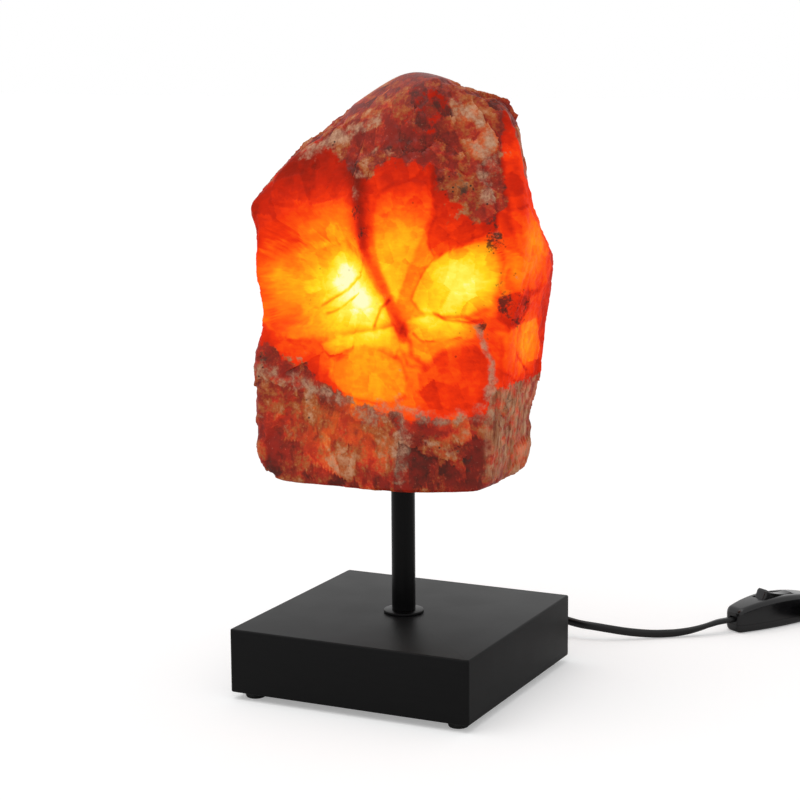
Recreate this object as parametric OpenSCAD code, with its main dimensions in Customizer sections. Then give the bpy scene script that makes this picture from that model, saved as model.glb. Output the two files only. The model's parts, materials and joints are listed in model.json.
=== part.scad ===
// Table lamp: a rough block of aragonite, drilled from below, sits on a disc at the top of
// a slim stem that stands on a square black base. A lamp inside the block makes it glow.
// Millimetres. The table is at z = 0, the stem's axis is the z axis, the front is -y.

/* [Base] */
// Side of the square base block
base_side = 140; // [136:1:200]
// Height of the base block
base_h = 35; // [32:0.5:60]
// Radius of the base block's upright edges
base_edge_r = 1.5; // [0.5:0.1:4]
// Depth of the pocket over the cover plate
pocket_h = 18; // [17.6:0.1:20]
// Side of the square pocket in the underside
pocket_side = 84; // [76:1:88]
// Width of the rim on which the cover plate lies
cover_rim = 8; // [7:0.5:8]
// Thickness of the cover plate
cover_t = 2; // [1.5:0.1:3]
// Diameter of a cover screw's shank
cover_screw_d = 3.5; // [2.5:0.1:4]
// Length of a cover screw
cover_screw_l = 14; // [8:0.5:16]
// Diameter of a rubber foot at its top
foot_d = 12; // [8:0.5:13]
// Height of a rubber foot
foot_h = 4; // [2:0.5:8]
// Distance from a foot's centre to the base's side faces
foot_inset = 10; // [8:0.5:10]

/* [Stem] */
// Outer diameter of the sleeve tube
tube_d = 13; // [12.5:0.1:18]
// Length of the sleeve tube
tube_l = 81.4; // [60:0.1:160]
// Outer diameter of the washer at the tube's foot
foot_washer_d = 22; // [19:0.5:40]
// Thickness of the washers
washer_t = 1.6; // [1:0.1:2.5]
// Diameter of the threaded rod
rod_d = 9.8; // [9:0.1:10.5]
// Bore of the threaded rod
rod_bore = 7; // [6.8:0.1:7.4]
// Width of a rod nut across its flats
nut_af = 14; // [13:0.5:17]
// Height of a rod nut
nut_h = 5; // [3:0.5:6]
// Diameter of the disc that carries the stone
disc_d = 60; // [52:1:60]
// Thickness of the disc that carries the stone
disc_t = 4; // [3:0.5:6]
// Thickness of the pad between disc and stone
pad_t = 1; // [0.5:0.1:3]

/* [Stone] */
// Height of the stone
stone_h = 216.3; // [205:0.1:235]
// Diameter of the lamp chamber drilled in the stone
chamber_d = 46; // [44:0.5:48]
// Height of the lamp chamber over the disc's pad
chamber_h = 122; // [118:1:130]
// Depth of the stone's counterbore, which hides the disc
counterbore_h = 11; // [8:0.5:14]
// How sharp the stone's broken edges are
stone_edge = 32; // [16:1:44]

/* [Lamp] */
// Outer diameter of the lamp holder
holder_d = 28; // [27:0.5:31]
// Height of the lamp holder
holder_h = 45; // [43:0.5:48]
// Diameter of the bulb's glass
bulb_d = 25; // [22:0.5:28]
// Length of the bulb, tip contact to tip
bulb_l = 85; // [82:0.5:90]
// Diameter of the bulb's screw cap
bulb_cap_d = 13.7; // [13.5:0.05:13.9]

/* [Cord] */
// Width of the flat two-core cord
cord_w = 4.8; // [4.4:0.1:5]
// Thickness of the flat two-core cord
cord_t = 3.2; // [2.8:0.1:3.6]
// Height of the cord bore over the pocket's floor
cord_exit_h = 11; // [10:0.5:12]
// Length of the strain relief outside the base
relief_l = 20; // [20:0.5:22]
// Diameter of the strain relief at the base
relief_d = 10; // [9:0.5:14]
// Loops in the coil
coil_loops = 8.41; // [6.41:1:10.41]
// Gap between neighbouring turns of the coil
coil_gap = 0.45; // [0.42:0.01:0.6]
// Outer radius of the coil's centreline
coil_r = 36; // [34:0.5:38]

/* [Switch] */
// Length of the switch body
switch_l = 64; // [62:0.5:70]
// Width of the switch body at its middle
switch_w = 19; // [18.6:0.1:22]
// Width of the switch body at its ends
switch_end_w = 13; // [12.4:0.1:15]
// Height of the switch body at its middle
switch_h = 18.5; // [18:0.1:19]
// Height of the switch body at its ends
switch_end_h = 14; // [13.5:0.1:16]
// Height of the lower shell
switch_split = 5; // [4.6:0.1:5.1]
// Wall of the switch shells
switch_wall = 1.6; // [1.4:0.1:1.8]
// Length of the rocker, end to end
rocker_l = 24.8; // [22:0.2:24.8]
// Width of the rocker
rocker_w = 9; // [8:0.1:9.4]
// Tilt of the rocker to each side
rocker_tilt = 12; // [8:0.5:13]
// Diameter of the rocker's pin
pin_d = 2.2; // [1.8:0.1:2.6]

/* [Plug] */
// Width of the plug body
plug_w = 35; // [33:0.5:37]
// Thickness of the plug body
plug_t = 13.7; // [12:0.1:15]
// Length of the plug body
plug_l = 34; // [30:0.5:40]
// Distance between the plug's pins
plug_pitch = 18.4; // [17.5:0.1:19]
// Diameter of a plug pin
plug_pin_d = 4; // [3.9:0.05:4.1]
// Length of a plug pin
plug_pin_l = 19; // [17:0.5:20]
// Length of the strain relief at the plug
plug_relief_l = 20; // [16:0.5:26]

/* [Hidden] */
$fn = 48;

// Clearances
fit = 0.1;
run = 0.05;
slip = 0.3;
eps = 0.02;

// Heights of the base
block_z = foot_h;
cover_z = block_z + cover_t;
deck_z = block_z + base_h;
pocket_z = cover_z + pocket_h;
cover_side = pocket_side + 2 * cover_rim;
foot_at = base_side / 2 - foot_inset;
screw_at = pocket_side / 2 + cover_rim / 2;
head_r = 3.4;
head_h = 1.9;

// Heights of the stem
tube_z = deck_z + washer_t;
disc_z = tube_z + tube_l;
pad_z = disc_z + disc_t;
seat_z = pad_z + pad_t;
disc_nut_z = pad_z;
rod_hole_r = rod_d / 2 + 0.3;
nut_hole_r = rod_d / 2 + fit;
pocket_washer_z = pocket_z - washer_t;
pocket_nut_z = pocket_washer_z - nut_h;
rod_z = pocket_nut_z - 0.9;

// Lamp holder and bulb
holder_z = disc_nut_z + nut_h;
holder_base_h = 13;
holder_floor = 4;
holder_wall = 1.7;
holder_r = holder_d / 2;
holder_top = holder_z + holder_h;
rod_top = holder_z + holder_floor + 2;
core_z = rod_top + 2;
core_h = 10;
sleeve_h = 22;
sleeve_wall = 0.6;
contact_h = 2.5;
bulb_z = core_z + core_h + contact_h + fit;
bulb_r = bulb_d / 2;
cap_r = bulb_cap_d / 2;
cap_h = 20;
cap_z = bulb_z + 4.5;
shoulder_h = 10;
glass_wall = 0.8;
neck_r = cap_r - 0.55;

// Fracture faces of the stone, each [turn from the front to the right, tilt upwards,
// distance from the stone's middle], and broken hollows, each [turn, tilt,
// distance to the hollow's bottom, radius of the hollow]
stone_form_h = 216.3;
stone_k = stone_h / stone_form_h;
stone_mid = 98 * stone_k;
stone_faces = [
  [0, 3, 43], [-8, 22, 54], [1, -32, 102],
  [30, 0, 54], [30, 20, 62],
  [92, -8, 75], [99, 11, 81], [138, 7, 80],
  [177, -2, 42], [176, 28, 66], [-136, 4, 66],
  [-85, -2, 75], [-39, 3, 75], [-71, -35, 120],
  [-64, 44, 87], [-32, 50, 81], [-109, 50, 88],
  [40, 83, 110], [116, 66, 106], [112, 30, 98], [-160, 61, 101],
  [113, -44, 130], [58, -35, 122]
];
stone_hollows = [
  [121, 28, 72, 59], [-63, -11, 76, 30], [-66, 5, 80, 60],
  [-22, 5, 39, 60], [50, 0, 50, 50], [52, 37, 83, 40]
];
stone_turns = 64;
stone_tilts = 40;
counterbore_r = disc_d / 2 + 1;

// Cord: height of the bore, strain relief and terminal block
exit_z = cover_z + cord_exit_h;
wall_y = base_side / 2;
pocket_y = pocket_side / 2;
relief_bore_r = cord_w / 2 + fit;
shank_r = 4.5;
shank_l = 14;
relief_flange_r = relief_d / 2 + 1.5;
relief_flange_t = 1.5;
relief_y = wall_y + relief_flange_t + relief_l;
relief_tip_r = relief_bore_r + 1;
block_w = 19;
block_l = 17;
block_h = 15;
block_y = 17;
wire_d = 2.4;
wire_x = 1.9;
pole_x = 4.5;
wire_z = pocket_z - block_h + 4;

// The route from the strain relief to the switch lies on the table in a slack curve.
// Each point is [x, y, z, turn of the flat cord about its own line]
lamp_route = [
  [1, 102.5, 16.8, 90], [3.8, 108, 16.3, 90], [8.2, 112.5, 15.6, 90], [14, 115.5, 14.9, 90],
  [21, 116.8, 14.2, 90], [28, 117, 13.5, 90], [35, 116.5, 12.8, 90], [43, 115.3, 11.9, 90],
  [51, 114.4, 10.6, 90], [60, 114.5, 9.2, 90], [68.5, 116.4, 8.2, 90], [76.5, 119.6, 6.8, 90],
  [84, 123.8, 5.2, 90], [91, 128.4, 3.9, 90], [97.7, 133, 3, 88], [104, 137.3, 2.7, 82],
  [110, 141.5, 2.8, 70], [116, 145.9, 3.5, 52], [121.6, 150.2, 4.8, 34], [126.4, 154.4, 6.3, 18],
  [130.6, 158.8, 7.4, 6]
];

// Switch: the lamp's end of its axis on the table, its heading and its height
switch_at = [136.4, 166.4];
switch_turn = 58;
switch_cord_z = 8;
switch_mid = switch_l / 2;
switch_edge_r = 3;
switch_stations = [0, 0.5, 1.4, 2.6, 4, 8, 14, 21];
pin_z = 13;
rocker_r = rocker_l / 2;
lobe_z = 8;
valley_z = 6;
rocker_low = -3.4;
cheek_t = 1.2;
pin_l = rocker_w + 2 * slip + 2 * cheek_t;
bridge_t = 0.8;
terminal_x = 7;
terminal_l = 7.5;
terminal_w = 6;
terminal_h = 9;
strip_w = 3.4;
strip_z = 6;
strip_t = 0.8;
clamp_x = 4.1;
clamp_l = 2.7;
clamp_w = 8;
boss_dx = 14.8;
boss_y = 3.9;
boss_r = 1.8;
thread_r = 0.9;

// Coil: its middle on the table and where the cord joins it
coil_at = [212, 219];
coil_turn = 148;
coil_rings = 24;
coil_pitch = cord_t + coil_gap;
coil_rise = cord_w + coil_gap;
tie_t = 0.6;
tie_w = 7;
tie_turn = 35;
coil_z = tie_t + fit + cord_w / 2;
coil_r_in = coil_r - coil_pitch * coil_loops / 2;
coil_end_turn = coil_turn - 360 * coil_loops;
tie_top = coil_z + coil_rise + cord_w / 2 + slip;

// Plug: it lies in front of the coil, on the line in which the cord leaves it
plug_x = coil_at[0] + coil_r * cos(coil_end_turn);
plug_relief_y = 187;
plug_back_y = plug_relief_y - plug_relief_l;
plug_front_y = plug_back_y - plug_l;
plug_z = plug_t / 2;
plug_neck_w = 17;
plug_grip_l = 14;
plug_sleeve_l = 10;
plug_seat_l = 8;
plug_pin_r = plug_pin_d / 2 - 0.6;

function total(v) = len(v) == 0 ? 0 : [for (i = v) 1] * v;
function unit(v) = v / norm(v);
function xyz(p) = [p[0], p[1], p[2]];
function in_switch(p) = [
  switch_at[0] + p[0] * cos(switch_turn) - p[1] * sin(switch_turn),
  switch_at[1] + p[0] * sin(switch_turn) + p[1] * cos(switch_turn),
  p[2]
];

// Stone: reach of its surface from the middle along a direction
function heading(turn, tilt) = [sin(turn) * cos(tilt), -cos(turn) * cos(tilt), sin(tilt)];
function face_pull(d, f) = pow(max(0, d * heading(f[0], f[1])) / f[2], stone_edge);
function hollow_pull(d, h) =
  let (c = heading(h[0], h[1]) * (h[2] + h[3]), along = d * c, left = along * along - c * c + h[3] * h[3])
  along > 0 && left > 0 ? pow(1 / (along - sqrt(left)), stone_edge) : 0;
function stone_low() = [0, -90, (stone_mid + counterbore_h) / stone_k];
function reach(d) = pow(
  total([for (f = stone_faces) face_pull(d, f)]) + face_pull(d, stone_low())
  + total([for (h = stone_hollows) hollow_pull(d, h)]), -1 / stone_edge);

module stone_form() {
  n = stone_turns;
  rows = stone_tilts - 1;
  dirs = concat(
    [heading(0, -90)],
    [for (j = [1:rows]) for (k = [0:n - 1]) heading(360 * k / n, -90 + 180 * j / stone_tilts)],
    [heading(0, 90)]);
  points = [for (d = dirs) d * reach(d) * stone_k];
  top = 1 + rows * n;
  faces = concat(
    [for (k = [0:n - 1]) [0, 1 + k, 1 + (k + 1) % n]],
    [for (j = [0:rows - 2]) for (k = [0:n - 1])
      let (a = 1 + j * n + k, b = 1 + j * n + (k + 1) % n)
      each norm(points[a] - points[b + n]) < norm(points[b] - points[a + n])
        ? [[a, a + n, b + n], [a, b + n, b]] : [[a, a + n, b], [b, a + n, b + n]]],
    [for (k = [0:n - 1]) [1 + (rows - 1) * n + k, top, 1 + (rows - 1) * n + (k + 1) % n]]);
  polyhedron(points, faces, convexity = 6);
}

module stone() {
  color([0.86, 0.36, 0.16]) difference() {
    translate([0, 0, seat_z + stone_mid]) stone_form();
    translate([0, 0, seat_z - counterbore_h - 5]) cylinder(r = counterbore_r, h = counterbore_h + 5);
    translate([0, 0, seat_z - 5]) cylinder(d = chamber_d, h = chamber_h + 5);
  }
}

// Cord: a closed tube of flat section through a list of points
function along(p, i) = unit(xyz(p[min(i + 1, len(p) - 1)]) - xyz(p[max(i - 1, 0)]));
function cord_ring(p, i, w, t, n, up) =
  let (d = along(p, i), s = unit(cross(d, up)), u = cross(s, d), a = p[i][3],
       wide = s * cos(a) + u * sin(a), thin = u * cos(a) - s * sin(a))
  [for (k = [0:n - 1]) let (b = 360 * (k + 0.5) / n)
    xyz(p[i]) + wide * w / 2 * cos(b) + thin * t / 2 * sin(b)];

// A closed skin over rings of n points, one ring after the other
module skin(points, n) {
  last = len(points) - n;
  faces = concat(
    [for (i = [0:n:last - n]) for (k = [0:n - 1])
      let (a = i + k, b = i + (k + 1) % n) each [[a, b, b + n], [a, b + n, a + n]]],
    [for (k = [1:n - 2]) [0, k + 1, k]],
    [for (k = [1:n - 2]) [last, last + k, last + k + 1]]);
  polyhedron(points, faces, convexity = 10);
}

module cord_form(p, w, t, n, up = [0, 0, 1]) {
  skin([for (i = [0:len(p) - 1]) each cord_ring(p, i, w, t, n, up)], n);
}

module rounded_square(w, h, r) {
  square([w - 2 * r, h], center = true);
  square([w, h - 2 * r], center = true);
  for (x = [-1, 1]) for (y = [-1, 1])
    translate([x * (w / 2 - r), y * (h / 2 - r)]) circle(r);
}

module ring(r_out, r_in, h) {
  difference() {
    cylinder(r = r_out, h = h);
    translate([0, 0, -1]) cylinder(r = r_in, h = h + 2);
  }
}

module four(at) {
  for (x = [-1, 1]) for (y = [-1, 1]) translate([x * at, y * at, 0]) children();
}

module along_y(y, z, x = 0) {
  translate([x, y, z]) rotate([-90, 0, 0]) children();
}

module base_block() {
  color([0.03, 0.03, 0.03]) difference() {
    translate([0, 0, block_z]) linear_extrude(base_h) rounded_square(base_side, base_side, base_edge_r);
    translate([0, 0, block_z - 1]) linear_extrude(cover_t + 1)
      square(cover_side + 2 * slip, center = true);
    translate([0, 0, block_z - 1]) linear_extrude(pocket_z - block_z + 1)
      square(pocket_side, center = true);
    translate([0, 0, pocket_z - 1]) cylinder(r = rod_hole_r, h = deck_z - pocket_z + 2);
    along_y(pocket_y - 1, exit_z) cylinder(r = shank_r + fit, h = wall_y - pocket_y + 2);
    four(screw_at) translate([0, 0, cover_z - 1])
      cylinder(d = cover_screw_d + 2 * fit, h = cover_screw_l - cover_t + 2);
    translate([0, block_y + block_l / 2, pocket_z - 1]) cylinder(r = 1.6, h = 8);
  }
}

module base_cover() {
  color([0.06, 0.06, 0.06]) difference() {
    translate([0, 0, block_z]) linear_extrude(cover_t) rounded_square(cover_side, cover_side, 1);
    four(screw_at) {
      translate([0, 0, block_z - 1]) cylinder(d = cover_screw_d + 2 * fit, h = cover_t + 2);
      translate([0, 0, block_z - eps]) cylinder(r1 = head_r + fit, r2 = cover_screw_d / 2 + fit, h = head_h);
    }
  }
}

module cover_screws() {
  color([0.55, 0.55, 0.57]) four(screw_at) translate([0, 0, block_z]) difference() {
    union() {
      cylinder(r1 = head_r, r2 = cover_screw_d / 2, h = head_h);
      cylinder(d = cover_screw_d, h = cover_screw_l - 2);
      translate([0, 0, cover_screw_l - 2]) cylinder(d1 = cover_screw_d, d2 = 0.6, h = 2);
    }
    for (a = [0, 90]) rotate(a) translate([-1.8, -0.4, -1]) cube([3.6, 0.8, 2]);
  }
}

module feet() {
  color([0.02, 0.02, 0.02]) four(foot_at) cylinder(d1 = foot_d - 1.2, d2 = foot_d, h = foot_h);
}

module stem_washer() {
  color([0.03, 0.03, 0.03]) translate([0, 0, deck_z]) ring(foot_washer_d / 2, rod_hole_r, washer_t);
}

module stem_tube() {
  color([0.03, 0.03, 0.03]) translate([0, 0, tube_z]) ring(tube_d / 2, rod_hole_r, tube_l);
}

module threaded_rod() {
  color([0.8, 0.68, 0.35]) translate([0, 0, rod_z]) ring(rod_d / 2, rod_bore / 2, rod_top - rod_z);
}

module rod_nut() {
  difference() {
    cylinder(d = nut_af / cos(30), h = nut_h, $fn = 6);
    translate([0, 0, -1]) cylinder(r = nut_hole_r, h = nut_h + 2);
  }
}

module lower_washer() {
  color([0.7, 0.7, 0.72]) translate([0, 0, pocket_washer_z]) ring(12, rod_hole_r, washer_t);
}

module lower_nut() {
  color([0.8, 0.68, 0.35]) translate([0, 0, pocket_nut_z]) rod_nut();
}

module support_disc() {
  color([0.25, 0.25, 0.26]) translate([0, 0, disc_z]) ring(disc_d / 2, rod_hole_r, disc_t);
}

module disc_pad() {
  color([0.62, 0.45, 0.28]) translate([0, 0, pad_z]) ring(disc_d / 2, chamber_d / 2 + 0.5, pad_t);
}

module lock_nut() {
  color([0.8, 0.68, 0.35]) translate([0, 0, disc_nut_z]) rod_nut();
}

module holder_cap() {
  color([0.08, 0.08, 0.08]) translate([0, 0, holder_z]) difference() {
    cylinder(r = holder_r, h = holder_base_h);
    translate([0, 0, holder_floor]) cylinder(r = holder_r - holder_wall, h = holder_base_h);
    translate([0, 0, -1]) cylinder(r = nut_hole_r, h = holder_floor + 2);
  }
}

module holder_core() {
  color([0.93, 0.91, 0.87]) translate([0, 0, core_z]) difference() {
    cylinder(r = holder_r - holder_wall - fit, h = core_h);
    for (x = [-1, 1]) translate([x * wire_x, 0, -1]) cylinder(d = wire_d + 2 * fit, h = 5);
  }
}

module holder_shell() {
  color([0.08, 0.08, 0.08]) translate([0, 0, holder_z + holder_base_h]) difference() {
    cylinder(r = holder_r, h = holder_h - holder_base_h);
    translate([0, 0, -1]) cylinder(r = holder_r - holder_wall, h = holder_h - holder_base_h - 1);
    cylinder(r = cap_r + 1.4, h = holder_h);
  }
}

module contact_sleeve() {
  color([0.85, 0.7, 0.35]) translate([0, 0, core_z + core_h])
    ring(cap_r + 0.25 + sleeve_wall, cap_r + 0.25, sleeve_h);
}

module centre_contact() {
  color([0.85, 0.7, 0.35]) translate([0, 0, core_z + core_h]) cylinder(r = 2.6, h = contact_h);
}

// Outline of the bulb's glass, a tube with a round end, from its neck in the screw cap to its tip
function glass_outline(inset) =
  let (h = bulb_z + bulb_l - inset, r = bulb_r - inset, n = neck_r - inset, low = cap_z + 2, top = cap_z + cap_h)
  concat(
    [[0, low], [n, low], [n, top - 1]],
    [for (i = [0:8]) [n + (r - n) * (1 - cos(22.5 * i)) / 2, top + shoulder_h * i / 8]],
    [for (i = [0:8]) [r * cos(10 * i), h - r + r * sin(10 * i)]],
    [[0, h]]);

module bulb_glass() {
  color([1, 0.9, 0.7, 0.5]) difference() {
    rotate_extrude() polygon(glass_outline(0));
    rotate_extrude() polygon(concat([[0, cap_z + 1], [neck_r - glass_wall, cap_z + 1]],
      [for (i = [2:len(glass_outline(glass_wall)) - 1]) glass_outline(glass_wall)[i]]));
  }
}

module bulb_cap() {
  color([0.85, 0.85, 0.84]) difference() {
    translate([0, 0, cap_z]) cylinder(r = cap_r, h = cap_h);
    translate([0, 0, cap_z + 2]) cylinder(r = neck_r + run, h = cap_h);
    translate([0, 0, cap_z - 1]) cylinder(r = 3, h = 4);
  }
}

module bulb_contact() {
  color([0.3, 0.3, 0.3]) {
    translate([0, 0, bulb_z]) cylinder(r1 = 1.8, r2 = 2.6, h = 1.5);
    translate([0, 0, bulb_z + 1.5]) cylinder(r1 = 2.6, r2 = 5.2, h = cap_z - bulb_z - 1.5);
  }
}

stem_z = cap_z + 2;
stem_h = bulb_l - 37;
stem_top = stem_z + stem_h;
filament_r = 7;
lead_lean = 40.5;

module bulb_stem() {
  color([0.9, 0.9, 0.88, 0.5]) translate([0, 0, stem_z]) {
    cylinder(r1 = 4.5, r2 = 2, h = 14);
    translate([0, 0, 14]) cylinder(r = 2, h = stem_h - 14);
  }
}

module filament() {
  color([0.95, 0.75, 0.35]) {
    for (x = [-1, 1]) translate([x * 1.2, 0, stem_top + 0.25])
      rotate([0, x * lead_lean, 0]) cylinder(r = 0.3, h = 8.9);
    translate([0, 0, stem_top + 7]) rotate([90, 0, 0]) rotate_extrude(angle = 180)
      translate([filament_r, 0]) circle(0.5);
    translate([0, 0, stem_top]) cylinder(r = 0.3, h = filament_r + 6.5);
  }
}

function wire_route(x) = [
  [x * pole_x, block_y, wire_z, 0], [x * pole_x, block_y - 3, wire_z, 0],
  [x * 4.2, block_y - 6, wire_z - 0.3, 0], [x * 3.4, 8, wire_z - 0.5, 0],
  [x * 2.4, 4.6, wire_z - 0.2, 0], [x * wire_x, 2.1, rod_z - 2.2, 0], [x * wire_x, 0.5, rod_z - 0.4, 0],
  [x * wire_x, 0, rod_z + 2, 0], [x * wire_x, 0, rod_z + 6, 0], [x * wire_x, 0, core_z + 3, 0]
];

module inner_wires() {
  color([0.75, 0.75, 0.78]) for (x = [-1, 1]) cord_form(wire_route(x), wire_d, wire_d, 8, [1, 0, 0]);
}

module terminal_block() {
  color([0.92, 0.92, 0.9]) difference() {
    translate([-block_w / 2, block_y, pocket_z - block_h]) cube([block_w, block_l, block_h]);
    for (x = [-1, 1]) {
      translate([x * pole_x, block_y + 4.5, pocket_z - block_h - 1]) cylinder(r = 1.8, h = 5);
      translate([x * pole_x, block_y + block_l - 4.5, pocket_z - block_h - 1]) cylinder(r = 1.8, h = 5);
    }
    translate([0, block_y + block_l / 2, pocket_z - block_h - 1]) cylinder(r = 1.6, h = block_h + 2);
  }
}

module terminal_screws() {
  color([0.8, 0.68, 0.35]) {
    for (x = [-1, 1]) for (y = [4.5, block_l - 4.5])
      translate([x * pole_x, block_y + y, pocket_z - block_h + 0.5]) difference() {
        cylinder(r = 1.7, h = 3.5);
        translate([-2, -0.3, -1]) cube([4, 0.6, 1.6]);
      }
    translate([0, block_y + block_l / 2, pocket_z - block_h]) {
      translate([0, 0, -1.6]) cylinder(r = 2.6, h = 1.6);
      cylinder(r = 1.5, h = block_h + 6);
    }
  }
}

module cord_gland() {
  color([0.03, 0.03, 0.03]) difference() {
    union() {
      along_y(wall_y - shank_l, exit_z) cylinder(r = shank_r, h = shank_l);
      along_y(wall_y, exit_z) cylinder(r = relief_flange_r, h = relief_flange_t);
      along_y(wall_y + relief_flange_t, exit_z) cylinder(r1 = relief_d / 2, r2 = relief_tip_r, h = relief_l);
    }
    along_y(wall_y - shank_l - 1, exit_z) cylinder(r = relief_bore_r, h = shank_l + relief_l + 6);
    for (i = [1:4]) along_y(wall_y + relief_flange_t + 3.2 * i, exit_z)
      ring(relief_d, relief_bore_r + 0.9, 1);
  }
}

module cord_tail() {
  color([0.03, 0.03, 0.03]) cord_form(
    [for (y = [block_y + block_l, wall_y]) [0, y, exit_z, 90]], cord_w, cord_t, 8);
}

// Both ends of the first stretch are straight: out of the strain relief and into the switch
lamp_points = concat(
  [[0, wall_y, exit_z, 90], [0, relief_y, exit_z, 90], [0, relief_y + cord_w, exit_z, 90]],
  lamp_route,
  [concat(in_switch([0, 0, switch_cord_z - 0.4]), 0), concat(in_switch([2, 0, switch_cord_z]), 0),
   concat(in_switch([terminal_x, 0, switch_cord_z]), 0)]);

module cord_lamp_side() {
  color([0.03, 0.03, 0.03]) cord_form(lamp_points, cord_w, cord_t, 8);
}

// Turn of the coil at one of its rings: it winds in, climbs one layer in the half turn
// where it reverses, and winds out again on top
function coil_point(loops) =
  let (m = loops - coil_loops / 2, a = coil_turn - 360 * loops,
       r = coil_r_in + coil_pitch * abs(m), rise = min(1, max(-1, 4 * m)))
  [coil_at[0] + r * cos(a), coil_at[1] + r * sin(a), coil_z + coil_rise * (1 + sin(90 * rise)) / 2, 90];
function ahead(p, turn, d) = [p[0] + d * cos(turn), p[1] + d * sin(turn), p[2], p[3]];
coil_start = ahead(coil_point(0), coil_turn - 90, -cord_w);
coil_end = ahead(coil_point(coil_loops), coil_end_turn - 90, cord_w);
coil_steps = floor(coil_loops * coil_rings);
coil_points = concat(
  [coil_start],
  [for (i = [0:coil_steps]) coil_point(i * coil_loops / coil_steps)],
  [coil_end]);

// Least gap between turns of the coil: the way between two points, less the cord's oval there
function gap_between(a, b) =
  let (flat = norm([a[0] - b[0], a[1] - b[1]]), up = a[2] - b[2], way = norm([flat, up]))
  way - way / norm([flat / cord_t, up / cord_w]);
echo(coil_least_gap_mm = min([for (i = [0:coil_steps]) for (j = [i + coil_rings / 2:coil_steps])
  gap_between(coil_points[i + 1], coil_points[j + 1])]));

module cord_coil() {
  color([0.03, 0.03, 0.03]) cord_form(coil_points, cord_w, cord_t, 6);
}

// From the switch the cord drops to the table and turns on edge as it joins the coil
switch_end = in_switch([switch_l - terminal_x, 0, switch_cord_z]);
switch_out = in_switch([switch_l + 2, 0, switch_cord_z]);
coil_lead_in = ahead(coil_start, coil_turn - 90, -cord_w / 2);
function mix(a, b, t) = a + (b - a) * t;
switch_side_points = concat(
  [concat(switch_end, 0), concat(switch_out, 0)],
  [for (t = [0.25, 0.5, 0.75]) let (p = mix(switch_out, xyz(coil_lead_in), t))
    [p[0], p[1], mix(switch_cord_z, coil_z, (1 - cos(180 * t)) / 2), 90 * t]],
  [coil_lead_in, coil_start]);

module cord_switch_side() {
  color([0.03, 0.03, 0.03]) cord_form(switch_side_points, cord_w, cord_t, 8);
}

coil_lead_out = ahead(coil_end, coil_end_turn - 90, cord_w / 2);
plug_side_points = concat(
  [coil_end, coil_lead_out],
  [for (t = [0.3, 0.55, 0.8]) let (y = mix(coil_end[1], plug_relief_y + cord_w / 2, t))
    [plug_x, y, mix(coil_end[2], plug_z, (1 - cos(180 * t)) / 2), 90 * (1 - t)]],
  [[plug_x, plug_relief_y + cord_w / 2, plug_z, 0], [plug_x, plug_relief_y, plug_z, 0]]);

module cord_plug_side() {
  color([0.03, 0.03, 0.03]) cord_form(plug_side_points, cord_w, cord_t, 8);
}

module cord_tie() {
  r_in = coil_r_in - coil_pitch / 2 - slip;
  r_out = coil_r + coil_pitch / 2 + slip;
  color([0.1, 0.1, 0.1]) translate([coil_at[0], coil_at[1], 0]) rotate(tie_turn) difference() {
    translate([r_in - tie_t, -tie_w / 2, 0]) cube([r_out - r_in + 2 * tie_t, tie_w, tie_top + tie_t]);
    translate([r_in, -tie_w, tie_t]) cube([r_out - r_in, 2 * tie_w, tie_top - tie_t]);
  }
}

module on_switch() {
  translate([switch_at[0], switch_at[1], 0]) rotate(switch_turn) children();
}

// Switch body: rings along its length, each a square with rounded corners, that narrow
// towards the ends and close there in a small round
function bow(x, l, end, mid) =
  let (s = mid - end, r = (l * l / 4 + s * s) / (2 * s), d = x - l / 2) mid - r + sqrt(r * r - d * d);
function drawn_in(x, l, r) = let (e = min(x, l - x)) e < r ? r - sqrt(e * (2 * r - e)) : 0;
function switch_ring(x, inset) =
  let (l = switch_l - 2 * inset, r = switch_edge_r - inset, in = drawn_in(x, l, r),
       w = bow(x, l, switch_end_w, switch_w) / 2 - inset - in,
       top = bow(x, l, switch_end_h, switch_h) - inset - in, low = inset + 0.75 * in,
       r_top = min(r, 0.9 * w, 0.58 * (top - low)), r_low = min(r, 0.6 * w, 0.4 * (top - low)))
  [for (i = [0:3]) for (k = [0:4])
    let (y = i < 2 ? 1 : -1, up = i == 0 || i == 3, c = up ? r_top : r_low, a = 90 - 90 * i - 22.5 * k)
    [x + inset, y * (w - c) + c * cos(a), (up ? top - c : low + c) + c * sin(a)]];

module switch_form(inset) {
  l = switch_l - 2 * inset;
  n = len(switch_stations);
  stations = concat(switch_stations, [l / 2], [for (i = [1:n]) l - switch_stations[n - i]]);
  skin([for (x = stations) each switch_ring(x, inset)], 20);
}

module switch_shell() {
  difference() {
    switch_form(0);
    difference() {
      switch_form(switch_wall);
      children();
    }
  }
}

module switch_cut_at_split(up) {
  translate([-5, -switch_w, up ? switch_split : -5])
    cube([switch_l + 10, 2 * switch_w, up ? 40 : switch_split + 5]);
}

module cord_entries() {
  translate([-5, 0, switch_cord_z]) rotate([0, 90, 0]) cylinder(r = cord_w / 2 + 0.4, h = 5 + terminal_x);
  translate([switch_l - terminal_x, 0, switch_cord_z]) rotate([0, 90, 0])
    cylinder(r = cord_w / 2 + 0.4, h = 5 + terminal_x);
}

module boss_places() {
  translate([switch_mid - boss_dx, boss_y, 0]) children();
  translate([switch_mid + boss_dx, -boss_y, 0]) children();
}

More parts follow.
